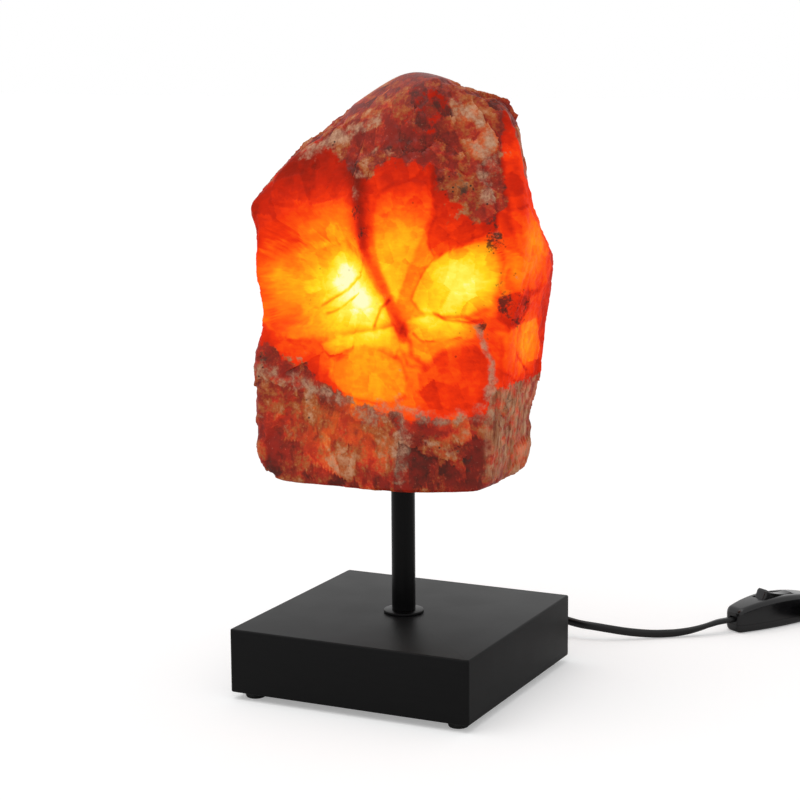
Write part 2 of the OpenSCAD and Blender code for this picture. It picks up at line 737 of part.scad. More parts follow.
module switch_upper_shell() {
  cheek_y = rocker_w / 2 + slip;
  color([0.04, 0.04, 0.04]) on_switch() difference() {
    intersection() {
      switch_shell() {
        boss_places() cylinder(r = boss_r, h = switch_h);
        for (y = [-1, 1]) translate([switch_mid - 3, y > 0 ? cheek_y : -cheek_y - cheek_t, pin_z - 3])
          cube([6, cheek_t, switch_h]);
      }
      switch_cut_at_split(true);
    }
    translate([switch_mid - rocker_r - slip, -rocker_w / 2 - slip, pin_z])
      cube([rocker_l + 2 * slip, rocker_w + 2 * slip, switch_h]);
    translate([switch_mid, pin_l / 2, pin_z]) rotate([90, 0, 0])
      cylinder(r = pin_d / 2 + run, h = pin_l);
    cord_entries();
    boss_places() cylinder(r = thread_r + fit, h = 12);
  }
}

module switch_lower_shell() {
  color([0.05, 0.05, 0.05]) on_switch() difference() {
    intersection() {
      switch_shell() boss_places() cylinder(r = boss_r + 0.4, h = switch_split);
      switch_cut_at_split(false);
    }
    cord_entries();
    boss_places() {
      cylinder(r = thread_r + fit, h = 12);
      translate([0, 0, -1]) cylinder(r = boss_r, h = 2.5);
    }
  }
}

module switch_screws() {
  color([0.6, 0.6, 0.62]) on_switch() boss_places() difference() {
    union() {
      translate([0, 0, 0.3]) cylinder(r = boss_r - fit, h = 1.2);
      translate([0, 0, 1.5]) cylinder(r = thread_r, h = 9);
    }
    translate([-2, -0.25, 0]) cube([4, 0.5, 0.8]);
  }
}

module at_rocker() {
  on_switch() translate([switch_mid, 0, pin_z]) rotate([0, rocker_tilt, 0]) children();
}

// Rocker: a raised lobe at each end and a hollow between them, with round end faces
module rocker() {
  chord = rocker_r - 2.2;
  dip = lobe_z - valley_z;
  hollow_r = (chord * chord + dip * dip) / (2 * dip);
  color([0.03, 0.03, 0.03]) at_rocker() difference() {
    translate([0, rocker_w / 2, 0]) rotate([90, 0, 0]) linear_extrude(rocker_w) difference() {
      intersection() {
        circle(rocker_r, $fn = 96);
        union() {
          translate([-rocker_r, rocker_low]) square([rocker_l, lobe_z - rocker_low - 2]);
          for (x = [-1, 1]) translate([x * (rocker_r - 3.3), lobe_z - 2.2]) circle(2.2);
          translate([-rocker_r + 3.3, 0]) square([rocker_l - 6.6, lobe_z]);
        }
      }
      translate([0, valley_z + hollow_r]) circle(hollow_r, $fn = 96);
    }
    translate([0, rocker_w, 0]) rotate([90, 0, 0]) cylinder(r = pin_d / 2 + run, h = 2 * rocker_w);
  }
}

module contact_bridge() {
  color([0.85, 0.6, 0.3]) at_rocker() translate([-7, -2, rocker_low - bridge_t]) cube([14, 4, bridge_t]);
}

module rocker_pin() {
  color([0.7, 0.7, 0.72]) on_switch() translate([switch_mid, pin_l / 2, pin_z]) rotate([90, 0, 0])
    cylinder(d = pin_d, h = pin_l);
}

module mirrored_in_switch() {
  children();
  translate([switch_l, 0, 0]) mirror([1, 0, 0]) children();
}

module switch_terminals() {
  color([0.85, 0.7, 0.35]) on_switch() mirrored_in_switch() {
    translate([terminal_x, -terminal_w / 2, switch_wall])
      cube([terminal_l, terminal_w, terminal_h - switch_wall]);
    translate([terminal_x + terminal_l - eps, -strip_w / 2, strip_z])
      cube([switch_mid - terminal_x - terminal_l - 4, strip_w, strip_t]);
  }
}

module cord_clamps() {
  color([0.85, 0.85, 0.83]) on_switch() mirrored_in_switch()
    translate([clamp_x, -clamp_w / 2, switch_wall])
      cube([clamp_l, clamp_w, switch_cord_z - cord_t / 2 - switch_wall]);
}

module plug_outline() {
  intersection() {
    translate([0, -plug_l / 2]) rounded_square(plug_w, plug_l, 3);
    polygon([
      [-plug_w, -plug_l], [plug_w, -plug_l], [plug_w / 2, -plug_l + plug_grip_l],
      [plug_neck_w / 2, 0], [-plug_neck_w / 2, 0], [-plug_w / 2, -plug_l + plug_grip_l]
    ]);
  }
}

module plug_body() {
  color([0.03, 0.03, 0.03]) translate([plug_x, plug_back_y, 0]) difference() {
    intersection() {
      linear_extrude(plug_t) plug_outline();
      translate([0, 1, plug_t / 2]) rotate([90, 0, 0]) linear_extrude(plug_l + 2)
        rounded_square(plug_w, plug_t, 3);
    }
    for (x = [-1, 1]) translate([x * plug_pitch / 2, -plug_l - 1, plug_z]) rotate([-90, 0, 0])
      cylinder(d = plug_pin_d + run, h = plug_seat_l + 1);
  }
}

module plug_relief() {
  color([0.03, 0.03, 0.03]) difference() {
    along_y(plug_back_y, plug_z, plug_x) cylinder(r1 = plug_t / 2 - 0.8, r2 = relief_tip_r, h = plug_relief_l);
    for (i = [1:4]) along_y(plug_back_y + 3.4 * i, plug_z, plug_x) ring(plug_t, relief_tip_r + 0.2, 1.2);
  }
}

module plug_sleeves() {
  color([0.04, 0.04, 0.04]) for (x = [-1, 1])
    along_y(plug_front_y - plug_sleeve_l, plug_z, plug_x + x * plug_pitch / 2)
      ring(plug_pin_d / 2, plug_pin_r, plug_sleeve_l + plug_seat_l);
}

module plug_pins() {
  color([0.8, 0.8, 0.82]) for (x = [-1, 1]) {
    along_y(plug_front_y - plug_sleeve_l, plug_z, plug_x + x * plug_pitch / 2)
      cylinder(r = plug_pin_r - run, h = plug_sleeve_l + plug_seat_l);
    along_y(plug_front_y - plug_pin_l + plug_pin_d / 2, plug_z, plug_x + x * plug_pitch / 2)
      cylinder(d = plug_pin_d, h = plug_pin_l - plug_pin_d / 2 - plug_sleeve_l);
    translate([plug_x + x * plug_pitch / 2, plug_front_y - plug_pin_l + plug_pin_d / 2, plug_z])
      sphere(d = plug_pin_d);
  }
}

stone();
base_block();
base_cover();
cover_screws();
feet();
stem_washer();
stem_tube();
threaded_rod();
lower_washer();
lower_nut();
support_disc();
disc_pad();
lock_nut();
holder_cap();
holder_core();
holder_shell();
contact_sleeve();
centre_contact();
bulb_glass();
bulb_cap();
bulb_contact();
bulb_stem();
filament();
inner_wires();
terminal_block();
terminal_screws();
cord_gland();
cord_tail();
cord_lamp_side();
switch_upper_shell();
switch_lower_shell();
rocker();
rocker_pin();
contact_bridge();
switch_terminals();
cord_clamps();
switch_screws();
cord_switch_side();
cord_coil();
cord_tie();
cord_plug_side();
plug_body();
plug_relief();
plug_sleeves();
plug_pins();
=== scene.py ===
import json
import math
import bmesh
import bpy
import numpy as np
from mathutils import Matrix, Vector, noise


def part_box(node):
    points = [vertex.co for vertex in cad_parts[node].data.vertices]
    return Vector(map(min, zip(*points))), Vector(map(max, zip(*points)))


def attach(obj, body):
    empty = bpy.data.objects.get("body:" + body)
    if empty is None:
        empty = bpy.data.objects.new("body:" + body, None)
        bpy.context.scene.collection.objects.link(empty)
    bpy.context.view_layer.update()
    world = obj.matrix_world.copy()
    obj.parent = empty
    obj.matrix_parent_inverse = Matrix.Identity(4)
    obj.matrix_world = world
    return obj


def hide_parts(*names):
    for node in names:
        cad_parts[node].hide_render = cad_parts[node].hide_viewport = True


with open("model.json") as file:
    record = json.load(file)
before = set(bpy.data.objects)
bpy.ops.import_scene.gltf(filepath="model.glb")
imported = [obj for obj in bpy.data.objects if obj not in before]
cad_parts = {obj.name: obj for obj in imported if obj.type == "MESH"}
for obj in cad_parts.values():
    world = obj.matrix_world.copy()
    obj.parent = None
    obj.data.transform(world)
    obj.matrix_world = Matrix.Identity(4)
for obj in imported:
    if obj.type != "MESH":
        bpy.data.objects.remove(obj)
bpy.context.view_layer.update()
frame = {"nodes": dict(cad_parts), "record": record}

bl_info = {
    "name": "Aragonite lamp",
    "version": (1, 0, 0),
    "blender": (4, 5, 0),
    "location": "View3D > Sidebar > Lamp",
    "description": "Builds a lit block of aragonite on a stem and a black base, with its corded switch",
    "category": "Add Mesh",
}

MM = 0.001               # every size below is in mm, unless it says otherwise
UP = Vector((0, 0, 1))
TAU = 2 * math.pi


# ---------------------------------------------------------------- shader maths
class Value:
    """A socket of a node tree. An expression on values adds its Math nodes."""

    def __init__(self, look, socket):
        self.look, self.socket = look, socket

    def _math(self, operation, *args):
        return self.look.node("ShaderNodeMath", {"operation": operation}, args)

    def __add__(self, other): return self._math("ADD", self, other)
    def __sub__(self, other): return self._math("SUBTRACT", self, other)
    def __rsub__(self, other): return self._math("SUBTRACT", other, self)
    def __mul__(self, other): return self._math("MULTIPLY", self, other)
    __radd__, __rmul__ = __add__, __mul__

    def most(self, other): return self._math("MAXIMUM", self, other)


class Look:
    """One material, or the world: its shader and the nodes that feed it."""

    def __init__(self, name, owner=None):
        self.material = owner or bpy.data.materials.new(name)
        self.material.use_nodes = True
        self.tree = self.material.node_tree
        self.shader = self.tree.nodes.get("Principled BSDF")

    def node(self, kind, settings=None, values=(), out=0):
        """Any node: its settings come first, then the values or links of its sockets."""
        made = self.tree.nodes.new(kind)
        for key, value in (settings or {}).items():
            if key == "stops":
                ramp = made.color_ramp.elements
                while len(ramp) > 1:
                    ramp.remove(ramp[-1])
                for i, (place, colour) in enumerate(value):
                    stop = ramp[0] if i == 0 else ramp.new(place)
                    stop.position, stop.color = place, (*colour, 1)
            else:
                setattr(made, key, value)
        for key, value in (values.items() if isinstance(values, dict) else enumerate(values)):
            self.feed(made.inputs[key], value)
        return Value(self, made.outputs[out]) if made.outputs else None

    def feed(self, socket, value):
        if isinstance(value, Value):
            self.tree.links.new(value.socket, socket)
        elif socket.type == "RGBA":
            socket.default_value = (*value[:3], 1)
        else:
            socket.default_value = value

    def place(self):
        return self.node("ShaderNodeTexCoord", out="Object")

    def stretched(self, scale, turn=(0, 0, 0)):
        return self.node("ShaderNodeMapping", None, {
            "Vector": self.place(), "Scale": scale, "Rotation": turn})

    def noise(self, scale, detail, rough=0.5, where=None, bend=0.0):
        return self.node("ShaderNodeTexNoise", None, {
            "Vector": where or self.place(), "Scale": scale, "Detail": detail,
            "Roughness": rough, "Distortion": bend})

    def cells(self, scale):
        return self.node("ShaderNodeTexVoronoi", None, {"Vector": self.place(), "Scale": scale})

    def step(self, value, low, high, to_low=0.0, to_high=1.0):
        return self.node("ShaderNodeMapRange", {"interpolation_type": "SMOOTHSTEP"},
                         (value, low, high, to_low, to_high))

    def mix(self, factor, one, other, blend="MIX"):
        return self.node("ShaderNodeMix", {"data_type": "RGBA", "blend_type": blend},
                         {0: factor, 6: one, 7: other}, out=2)

    def ramp(self, value, *stops):
        return self.node("ShaderNodeValToRGB", {"stops": stops}, (value,))

    def of(self, attribute):
        return self.node("ShaderNodeAttribute", {"attribute_name": attribute}, out=2)

    def bump(self, height, depth, strength):
        self.set(Normal=self.node("ShaderNodeBump", None, {
            "Strength": strength, "Distance": depth, "Height": height}))

    def set(self, **values):
        for key, value in values.items():
            self.feed(self.shader.inputs[key.replace("_", " ")], value)


# ---------------------------------------------------------------- mesh tools
REPLACED = set()         # the CAD nodes that a new piece stands for


def piece(name, verts, faces, body, slot, *nodes, smooth=30, material=None):
    """A new mesh object, from points in mm, that rides on a body and stands for CAD nodes."""
    mesh = bpy.data.meshes.new(name)
    mesh.from_pydata([tuple(c * MM for c in v) for v in verts], [], [tuple(f) for f in faces])
    mesh.validate()
    return dressed(name, mesh, body, slot, nodes, smooth, material)


def dressed(name, mesh, body, slot, nodes, smooth=30, material=None):
    """A new object from a mesh in metres, with its finish, its body and the CAD nodes it replaces."""
    mesh.polygons.foreach_set("use_smooth", [True] * len(mesh.polygons))
    mesh.set_sharp_from_angle(angle=math.radians(smooth))
    made = bpy.data.objects.new(name, mesh)
    bpy.context.scene.collection.objects.link(made)
    made.data.materials.append(material or finish(slot))
    if body:
        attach(made, body)
    if nodes:
        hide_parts(*nodes)
        REPLACED.update(nodes)
    return made


def join(*parts):
    """Vertices and faces of several (vertices, faces) pairs as one."""
    verts, faces = [], []
    for v, f in parts:
        faces += [[i + len(verts) for i in face] for face in f]
        verts += list(v)
    return verts, faces


def skin(rings):
    """A closed surface over rings of equally many points."""
    n = len(rings[0])
    faces = []
    for i in range(len(rings) - 1):
        a = i * n
        faces += [(a + k, a + (k + 1) % n, a + n + (k + 1) % n, a + n + k) for k in range(n)]
    last = (len(rings) - 1) * n
    faces += [tuple(range(n))[::-1], tuple(last + k for k in range(n))]
    return [p for ring in rings for p in ring], faces


def turned(outline, sides):
    """A turned part: an outline of (radius, height) about +z, closed where it meets itself."""
    rings = []
    for k in range(sides):
        a = TAU * k / sides
        rings.append([Vector((r * math.cos(a), r * math.sin(a), z)) for r, z in outline])
    m, verts, faces = len(outline), [], []
    for ring in rings:
        verts += ring
    for k in range(sides):
        a, b = k * m, (k + 1) % sides * m
        faces += [(a + i, b + i, b + (i + 1) % m, a + (i + 1) % m) for i in range(m)]
    return verts, faces


def rounded(corners, steps):
    """An outline with its corners rounded: each corner is (x, y, radius)."""
    out = []
    for i, (x, y, r) in enumerate(corners):
        here = Vector((x, y))
        before = (Vector(corners[i - 1][:2]) - here).normalized()
        after = (Vector(corners[(i + 1) % len(corners)][:2]) - here).normalized()
        half = before.angle(after) / 2
        reach = r / math.tan(half)
        middle = (before + after).normalized() * (r / math.sin(half))
        start, end = before * reach - middle, after * reach - middle
        for k in range(steps + 1):
            t = k / steps
            out.append(here + middle + (start * (1 - t) + end * t).normalized() * r)
    return out


def moved(shape, matrix):
    """Vertices and faces with a matrix applied."""
    return [matrix @ Vector(v) for v in shape[0]], shape[1]


def lying(x, y, z):
    """A frame whose +z points along +y: for what is turned about a line to the back."""
    return Matrix.Translation((x, y, z)) @ Matrix.Rotation(-math.pi / 2, 4, "X")


def plate(outline, z0, z1, bevel=0.0, steps=0):
    """An outline given a thickness, with its rims rounded."""
    n, rings, normals = len(outline), [], []
    for i in range(n):
        way = (Vector(outline[(i + 1) % n]) - Vector(outline[i - 1])).normalized()
        normals.append(Vector((way.y, -way.x)))
    levels = [(z0, 0)]
    if bevel:
        levels = [(z0 + bevel * (1 - math.cos(a)), bevel * (1 - math.sin(a)))
                  for a in [math.pi / 2 * k / steps for k in range(steps + 1)]]
    levels += [(z0 + z1 - z, inset) for z, inset in reversed(levels)]
    for z, inset in levels:
        rings.append([Vector((*(Vector(p) - normals[i] * inset), z)) for i, p in enumerate(outline)])
    return skin(rings)


def cut(name, whole, cutters, place=Matrix.Identity(4)):
    """A mesh in metres, from a shape in mm with other shapes taken out of it, put in its place."""
    def solid(shape, label):
        mesh = bpy.data.meshes.new(label)
        mesh.from_pydata([tuple(v) for v in shape[0]], [], [tuple(f) for f in shape[1]])
        work = bmesh.new()
        work.from_mesh(mesh)
        bmesh.ops.recalc_face_normals(work, faces=work.faces)
        work.to_mesh(mesh)
        work.free()
        made = bpy.data.objects.new(label, mesh)
        bpy.context.scene.collection.objects.link(made)
        return made
    whole = solid(whole, name + "_work")
    tools = [solid(c, name + "_cut") for c in cutters]
    for tool in tools:
        change = whole.modifiers.new("cut", "BOOLEAN")
        change.operation, change.solver, change.object = "DIFFERENCE", "EXACT", tool
    mesh = bpy.data.meshes.new_from_object(
        whole.evaluated_get(bpy.context.evaluated_depsgraph_get()))
    for extra in [whole] + tools:
        bpy.data.objects.remove(extra)
    mesh.transform(Matrix.Scale(MM, 4) @ place)
    return mesh


def box(low, high):
    """A block between two corners, as a cutter or a slab."""
    x0, y0, z0 = low
    x1, y1, z1 = high
    verts = [(x, y, z) for z in (z0, z1) for x, y in ((x0, y0), (x1, y0), (x1, y1), (x0, y1))]
    return verts, [(0, 3, 2, 1), (4, 5, 6, 7), (0, 1, 5, 4), (1, 2, 6, 5), (2, 3, 7, 6), (3, 0, 4, 7)]


def rod(radius, low, high):
    """A round bar about +z, as a cutter."""
    return turned_solid([(radius, low), (radius, high)], 48)


def turned_solid(outline, sides):
    """A turned part without a bore, its outline from the low end of the axis to the high end."""
    return skin([[Vector((r * math.cos(TAU * k / sides), r * math.sin(TAU * k / sides), z))
                  for k in range(sides)] for r, z in outline])


# ---------------------------------------------------------------- materials
LACQUER_SPREAD = 0.012   # how far the lacquer's roughness goes to either side


def moulded(name, colour, rough, specular, grain, depth, patch):
    """Plastic, rubber or paint: a fine grain, and a slightly uneven sheen and tone."""
    look = Look(name)
    fine, broad = look.noise(grain, 4), look.noise(patch, 3)
    shade = look.step(broad * 0.7 + fine * 0.3, 0.3, 0.7)
    look.set(Base_Color=look.mix(shade, [c * 0.8 for c in colour], [c * 1.2 for c in colour]),
             Roughness=look.step(broad, 0.3, 0.7, rough * 0.88, rough * 1.12),
             Specular_IOR_Level=specular)
    look.bump(fine, depth * MM, 0.6)
    return look.material


def plated(name, colour, rough, stain):
    """Metal with fine scratches along its surface and a little stain."""
    look = Look(name)
    scratch = look.noise(300, 5, 0.7, look.stretched((1, 1, 14)))
    spots = look.step(look.noise(140, 5), 0.45, 0.75)
    look.set(Base_Color=look.mix(spots, colour, [c * stain for c in colour]), Metallic=1.0,
             Roughness=look.step(scratch, 0.2, 0.8, rough * 0.75, rough * 1.35))
    look.bump(scratch, 0.01 * MM, 0.5)
    return look.material


def lacquer():
    """Black lacquer over wood: a trace of its grain and of the spray gun's peel."""
    props = bpy.context.scene.lamp_base
    look = Look("black_lacquer")
    grain = look.noise(60, 4, 0.6, look.stretched((1, 12, 12)))
    peel = look.noise(420, 2)
    colour = props.colour
    look.set(Base_Color=look.mix(grain, [c * 0.85 for c in colour], [c * 1.15 for c in colour]),
             Roughness=look.step(look.noise(35, 4), 0.3, 0.7, props.roughness - LACQUER_SPREAD,
                                 props.roughness + LACQUER_SPREAD),
             Specular_IOR_Level=props.sheen)
    look.bump(grain * 0.5 + peel * 0.5, 0.02 * MM, 0.5)
    return look.material


def board():
    """Black fibre board, as under the base."""
    look = Look("black_board")
    fibres = look.noise(500, 5, 0.7, look.stretched((1, 5, 1), (0, 0, 0.5)))
    look.set(Base_Color=look.ramp(fibres, (0.3, (0.02, 0.019, 0.018)), (0.7, (0.05, 0.048, 0.045))),
             Roughness=0.85)
    look.bump(fibres, 0.05 * MM, 0.6)
    return look.material


def cork():
    """Pressed cork grains."""
    look = Look("cork")
    grain = look.cells(700)
    look.set(Roughness=0.9, Base_Color=look.ramp(
        grain, (0.1, (0.2, 0.1, 0.04)), (0.4, (0.5, 0.3, 0.14)), (0.9, (0.62, 0.42, 0.22))))
    look.bump(grain, 0.15 * MM, 0.7)
    return look.material


def clear_glass():
    """Thin blown glass with faint swirls."""
    look = Look("bulb_glass")
    swirl = look.noise(90, 2)
    look.set(Base_Color=(1.0, 0.96, 0.88), Roughness=look.step(swirl, 0.2, 0.8, 0.0, 0.04),
             IOR=1.45, Transmission_Weight=1.0)
    return look.material


def hot_wire():
    """A glowing coil of wire, hotter in places."""
    look = Look("filament")
    coils = look.noise(900, 2)
    look.set(Base_Color=(0.8, 0.6, 0.3), Roughness=0.4, Emission_Strength=1.0,
             Emission_Color=look.ramp(coils, (0.2, (1.0, 0.62, 0.2)), (0.8, (1.0, 0.85, 0.5))))
    return look.material


# The stone's light from its darkest to its brightest place: (glow, colour)
STONE_LIGHT = (
    (0.0, (0.02, 0.0005, 0.0003)), (0.15, (0.10, 0.002, 0.001)), (0.28, (0.30, 0.005, 0.001)),
    (0.38, (0.52, 0.010, 0.0015)), (0.47, (0.82, 0.028, 0.002)), (0.55, (0.93, 0.085, 0.003)),
    (0.64, (0.97, 0.20, 0.004)), (0.73, (1.0, 0.40, 0.006)), (0.83, (1.0, 0.68, 0.012)),
    (0.92, (1.0, 0.90, 0.10)), (1.0, (1.0, 0.97, 0.55)))


def aragonite():
    """Stone lit from within: its light falls from yellow-white over orange to deep red with the
    stone's depth, and a dull crust with pale veins lies over parts of it."""
    props = bpy.context.scene.lamp_stone
    look = Look("aragonite")
    broad = look.noise(45, 4, 0.55)
    mid = look.noise(170, 6, 0.64, bend=0.2)
    fine = look.noise(720, 4, 0.65)
    ripple = look.noise(260, 3, 0.55, look.stretched((0.55, 1, 1.6), (0, -0.6, 0)), 0.4)
    crust = look.step(look.of("crust") + (mid - 0.5) * 1.5 + (broad - 0.5) * 1.0, 0.36, 0.60)
    cover = crust * look.step(mid * 0.5 + broad * 0.5, 0.42, 0.55, 0.58, 0.96)
    vein = look.step(look.of("vein") + (mid - 0.5) * 1.8 + (broad - 0.5) * 1.3, 0.36, 1.0)
    spots = look.step(look.cells(230), 0.19, 0.07)
    spots = spots * look.step(broad + look.of("soot") * 0.5, 0.56, 0.68)
    soot = look.step(look.of("soot") + (mid - 0.5) * 1.8 + (fine - 0.5) * 1.2, 0.46, 0.86)
    glow = look.of("glow") + (broad - 0.5) * 0.12 + (mid - 0.5) * 0.10 + (ripple - 0.5) * 0.09
    veil = (1 - cover) * (1 - vein * 0.78) * (1 - spots * 0.75) * (1 - soot * 0.85)
    shade = look.mix(1.0, look.ramp(glow, *STONE_LIGHT), veil, "MULTIPLY")
    # the tone mark holds the crust's paler and darker places and the facets' painted light and shade
    rock = look.ramp(broad * 0.40 + mid * 0.43 + fine * 0.17 + look.of("tone"),
                     (0.38, props.crust_dark), (0.46, props.crust_red),
                     (0.54, props.crust_brown), (0.66, props.crust_pink))
    # painted glints: pale flecks from the fine noise stand in for small highlights on the crust's
    # crystals
    rock = look.mix(look.step(fine, 0.62, 0.78) * 0.4, rock, props.pale_vein_and_glint)
    striae = look.noise(300, 5, 0.62, look.stretched((1, 1, 0.12)))
    tan = look.ramp(striae, (0.36, (0.20, 0.06, 0.02)), (0.5, (0.48, 0.22, 0.10)),
                    (0.66, (0.68, 0.42, 0.25)))
    rock = look.mix(look.of("striae") * look.step(mid, 0.36, 0.56, 0.15, 0.9), rock, tan)
    pale = look.mix(look.step(fine * 0.4 + mid * 0.6, 0.36, 0.66), props.vein_grey, props.pale_vein_and_glint)
    lit_stone = look.ramp(glow, (0.1, (0.10, 0.012, 0.006)), (0.5, (0.12, 0.012, 0.003)),
                          (0.9, (0.06, 0.02, 0.002)))
    colour = look.mix(vein * 0.75, look.mix(crust, lit_stone, rock), pale)
    colour = look.mix(soot * 0.85, look.mix(spots, colour, (0.03, 0.012, 0.008)),
                      (0.045, 0.024, 0.018))
    look.set(Base_Color=colour, Roughness=look.step(mid, 0.35, 0.65, 0.42, 0.68),
             Specular_IOR_Level=props.sheen, Coat_Weight=crust * 0.3, Coat_Roughness=0.3,
             Emission_Color=shade, Emission_Strength=1.0)
    look.bump(mid * 0.6 + fine * (0.2 + crust * 0.4) + ripple * 0.4 * (1 - crust), 1.1 * MM, 0.9)
    return look.material


# (metal's colour, roughness, how dark its stains are)
METALS = {
    "steel": ((0.62, 0.63, 0.65), 0.28, 0.7),
    "brass": ((0.78, 0.56, 0.24), 0.3, 0.6),
    "bulb_metal": ((0.82, 0.82, 0.81), 0.25, 0.85),
    "nickel": ((0.80, 0.78, 0.74), 0.16, 0.9),
}
# (colour, roughness, specular level, grains per metre, their depth in mm, patches per metre)
MOULDED = {
    "foot_rubber": ((0.012, 0.012, 0.012), 0.7, 0.3, 700, 0.05, 60),
    "black_metal": ((0.0022, 0.0022, 0.0024), 0.30, 0.10, 1400, 0.02, 60),
    "holder_black": ((0.03, 0.03, 0.03), 0.45, 0.5, 900, 0.02, 60),
    "porcelain": ((0.8, 0.78, 0.73), 0.15, 0.5, 300, 0.02, 60),
    "black_glass": ((0.03, 0.03, 0.035), 0.1, 0.5, 900, 0.02, 60),
    "wire_clear": ((0.62, 0.62, 0.64), 0.2, 0.5, 1500, 0.02, 300),
    "terminal_white": ((0.78, 0.77, 0.73), 0.45, 0.5, 900, 0.02, 60),
    "cord_black": ((0.003, 0.003, 0.0033), 0.30, 0.34, 1100, 0.03, 90),
    "switch_gloss": ((0.0025, 0.0025, 0.003), 0.20, 0.42, 1600, 0.01, 120),
    "tie_black": ((0.03, 0.03, 0.03), 0.5, 0.4, 800, 0.04, 60),
    "plug_black": ((0.012, 0.012, 0.0125), 0.5, 0.4, 900, 0.04, 60),
}
LOOKS = {"aragonite": aragonite, "black_lacquer": lacquer, "black_board": board, "cork": cork,
         "bulb_glass": clear_glass, "filament": hot_wire}


def finish(slot):
    """The material of one of the record's material slots."""
    if slot in METALS:
        return plated(slot, *METALS[slot])
    if slot in MOULDED:
        return moulded(slot, *MOULDED[slot])
    return LOOKS[slot]()


# ---------------------------------------------------------------- the stone's form
# Broken faces (turn from the front to the right, tilt up, distance from the middle in mm) and
# hollows (turn, tilt, distance, radius), as in the part's source
STONE_FACES = [
    (0, 3, 43), (-8, 22, 54), (1, -32, 102), (30, 0, 54), (30, 20, 62), (92, -8, 75), (99, 11, 81),
    (138, 7, 80), (177, -2, 42), (176, 28, 66), (-136, 4, 66), (-85, -2, 75), (-39, 3, 75),
    (-71, -35, 120), (-64, 44, 87), (-32, 50, 81), (-109, 50, 88), (40, 83, 110), (116, 66, 106),
    (112, 30, 98), (-160, 61, 101), (113, -44, 130), (58, -35, 122), (0, -90, 109)]
STONE_HOLLOWS = [
    (121, 28, 72, 59), (-63, -11, 76, 30), (-66, 5, 80, 60), (-22, 5, 39, 60), (50, 0, 50, 50),
    (52, 37, 83, 40)]
STONE_MIDDLE = np.array((0.0, 0.0, 225.0))
STONE_LOW = 116.0
BORE_R, SEAT_Z, CHAMBER_R, CHAMBER_TOP = 31.0, 127.0, 23.0, 249.0    # the drillings for the lamp
CHAMBER_GLOW = 0.86      # the glow of their walls
STONE_EASE = 0.9         # how far the broken surface lies under the form that carries it
STONE_NAP = 1.2, 2.6     # how unevenly the edges of plates run, and those of crust, veins and soot
RIM_FADE = 0.4, 0.6      # width of a plate's dark rim: share of the rim's softness, and mm
RIM_GLOW, WORN = 1.2, (-0.6, 0.1)        # how strong that rim is, and where it is worn away
TOP_EDGE, LOW_EDGE = (-9, 11), (-6, 9)   # how softly the crust starts at the top and the bottom
VEIN_FALL, VEIN_HEIGHT = 0.6, 0.5
FLANK_X, FLANK_Z, RIB_HEIGHT = (58, 65), (190, 174), 0.3                 # the ribbed right flank
GLOW_CORE, GLOW_REACH, GLOW_FALL, GLOW_MOST = (184, 226), 42, 66, 0.70   # the light round the lamp
# Where the three parts of a smooth push are read from the noise
SWAY = Vector((13.7, 2.9, 41.3)), Vector((57.1, 23.6, 8.2)), Vector((5.4, 71.8, 33.9))
FAR, PLATE_REACH = 1e9, 16    # beyond any size, and how far off its plane a plate still counts
# Small facets: (size in mm, how much they tilt, how much they change the glow). Besides an offset of
# their own, the change is painted light and shade: lighter on facets that rise to the right and
# upwards, and where a facet stands higher
STONE_FACETS = ((22.0, 0.10, 0.030), (8.5, 0.13, 0.030), (3.6, 0.12, 0.016))
FACET_TONE = 2.2         # how much more they change the crust's tone than the glow, their painted light and shade with it
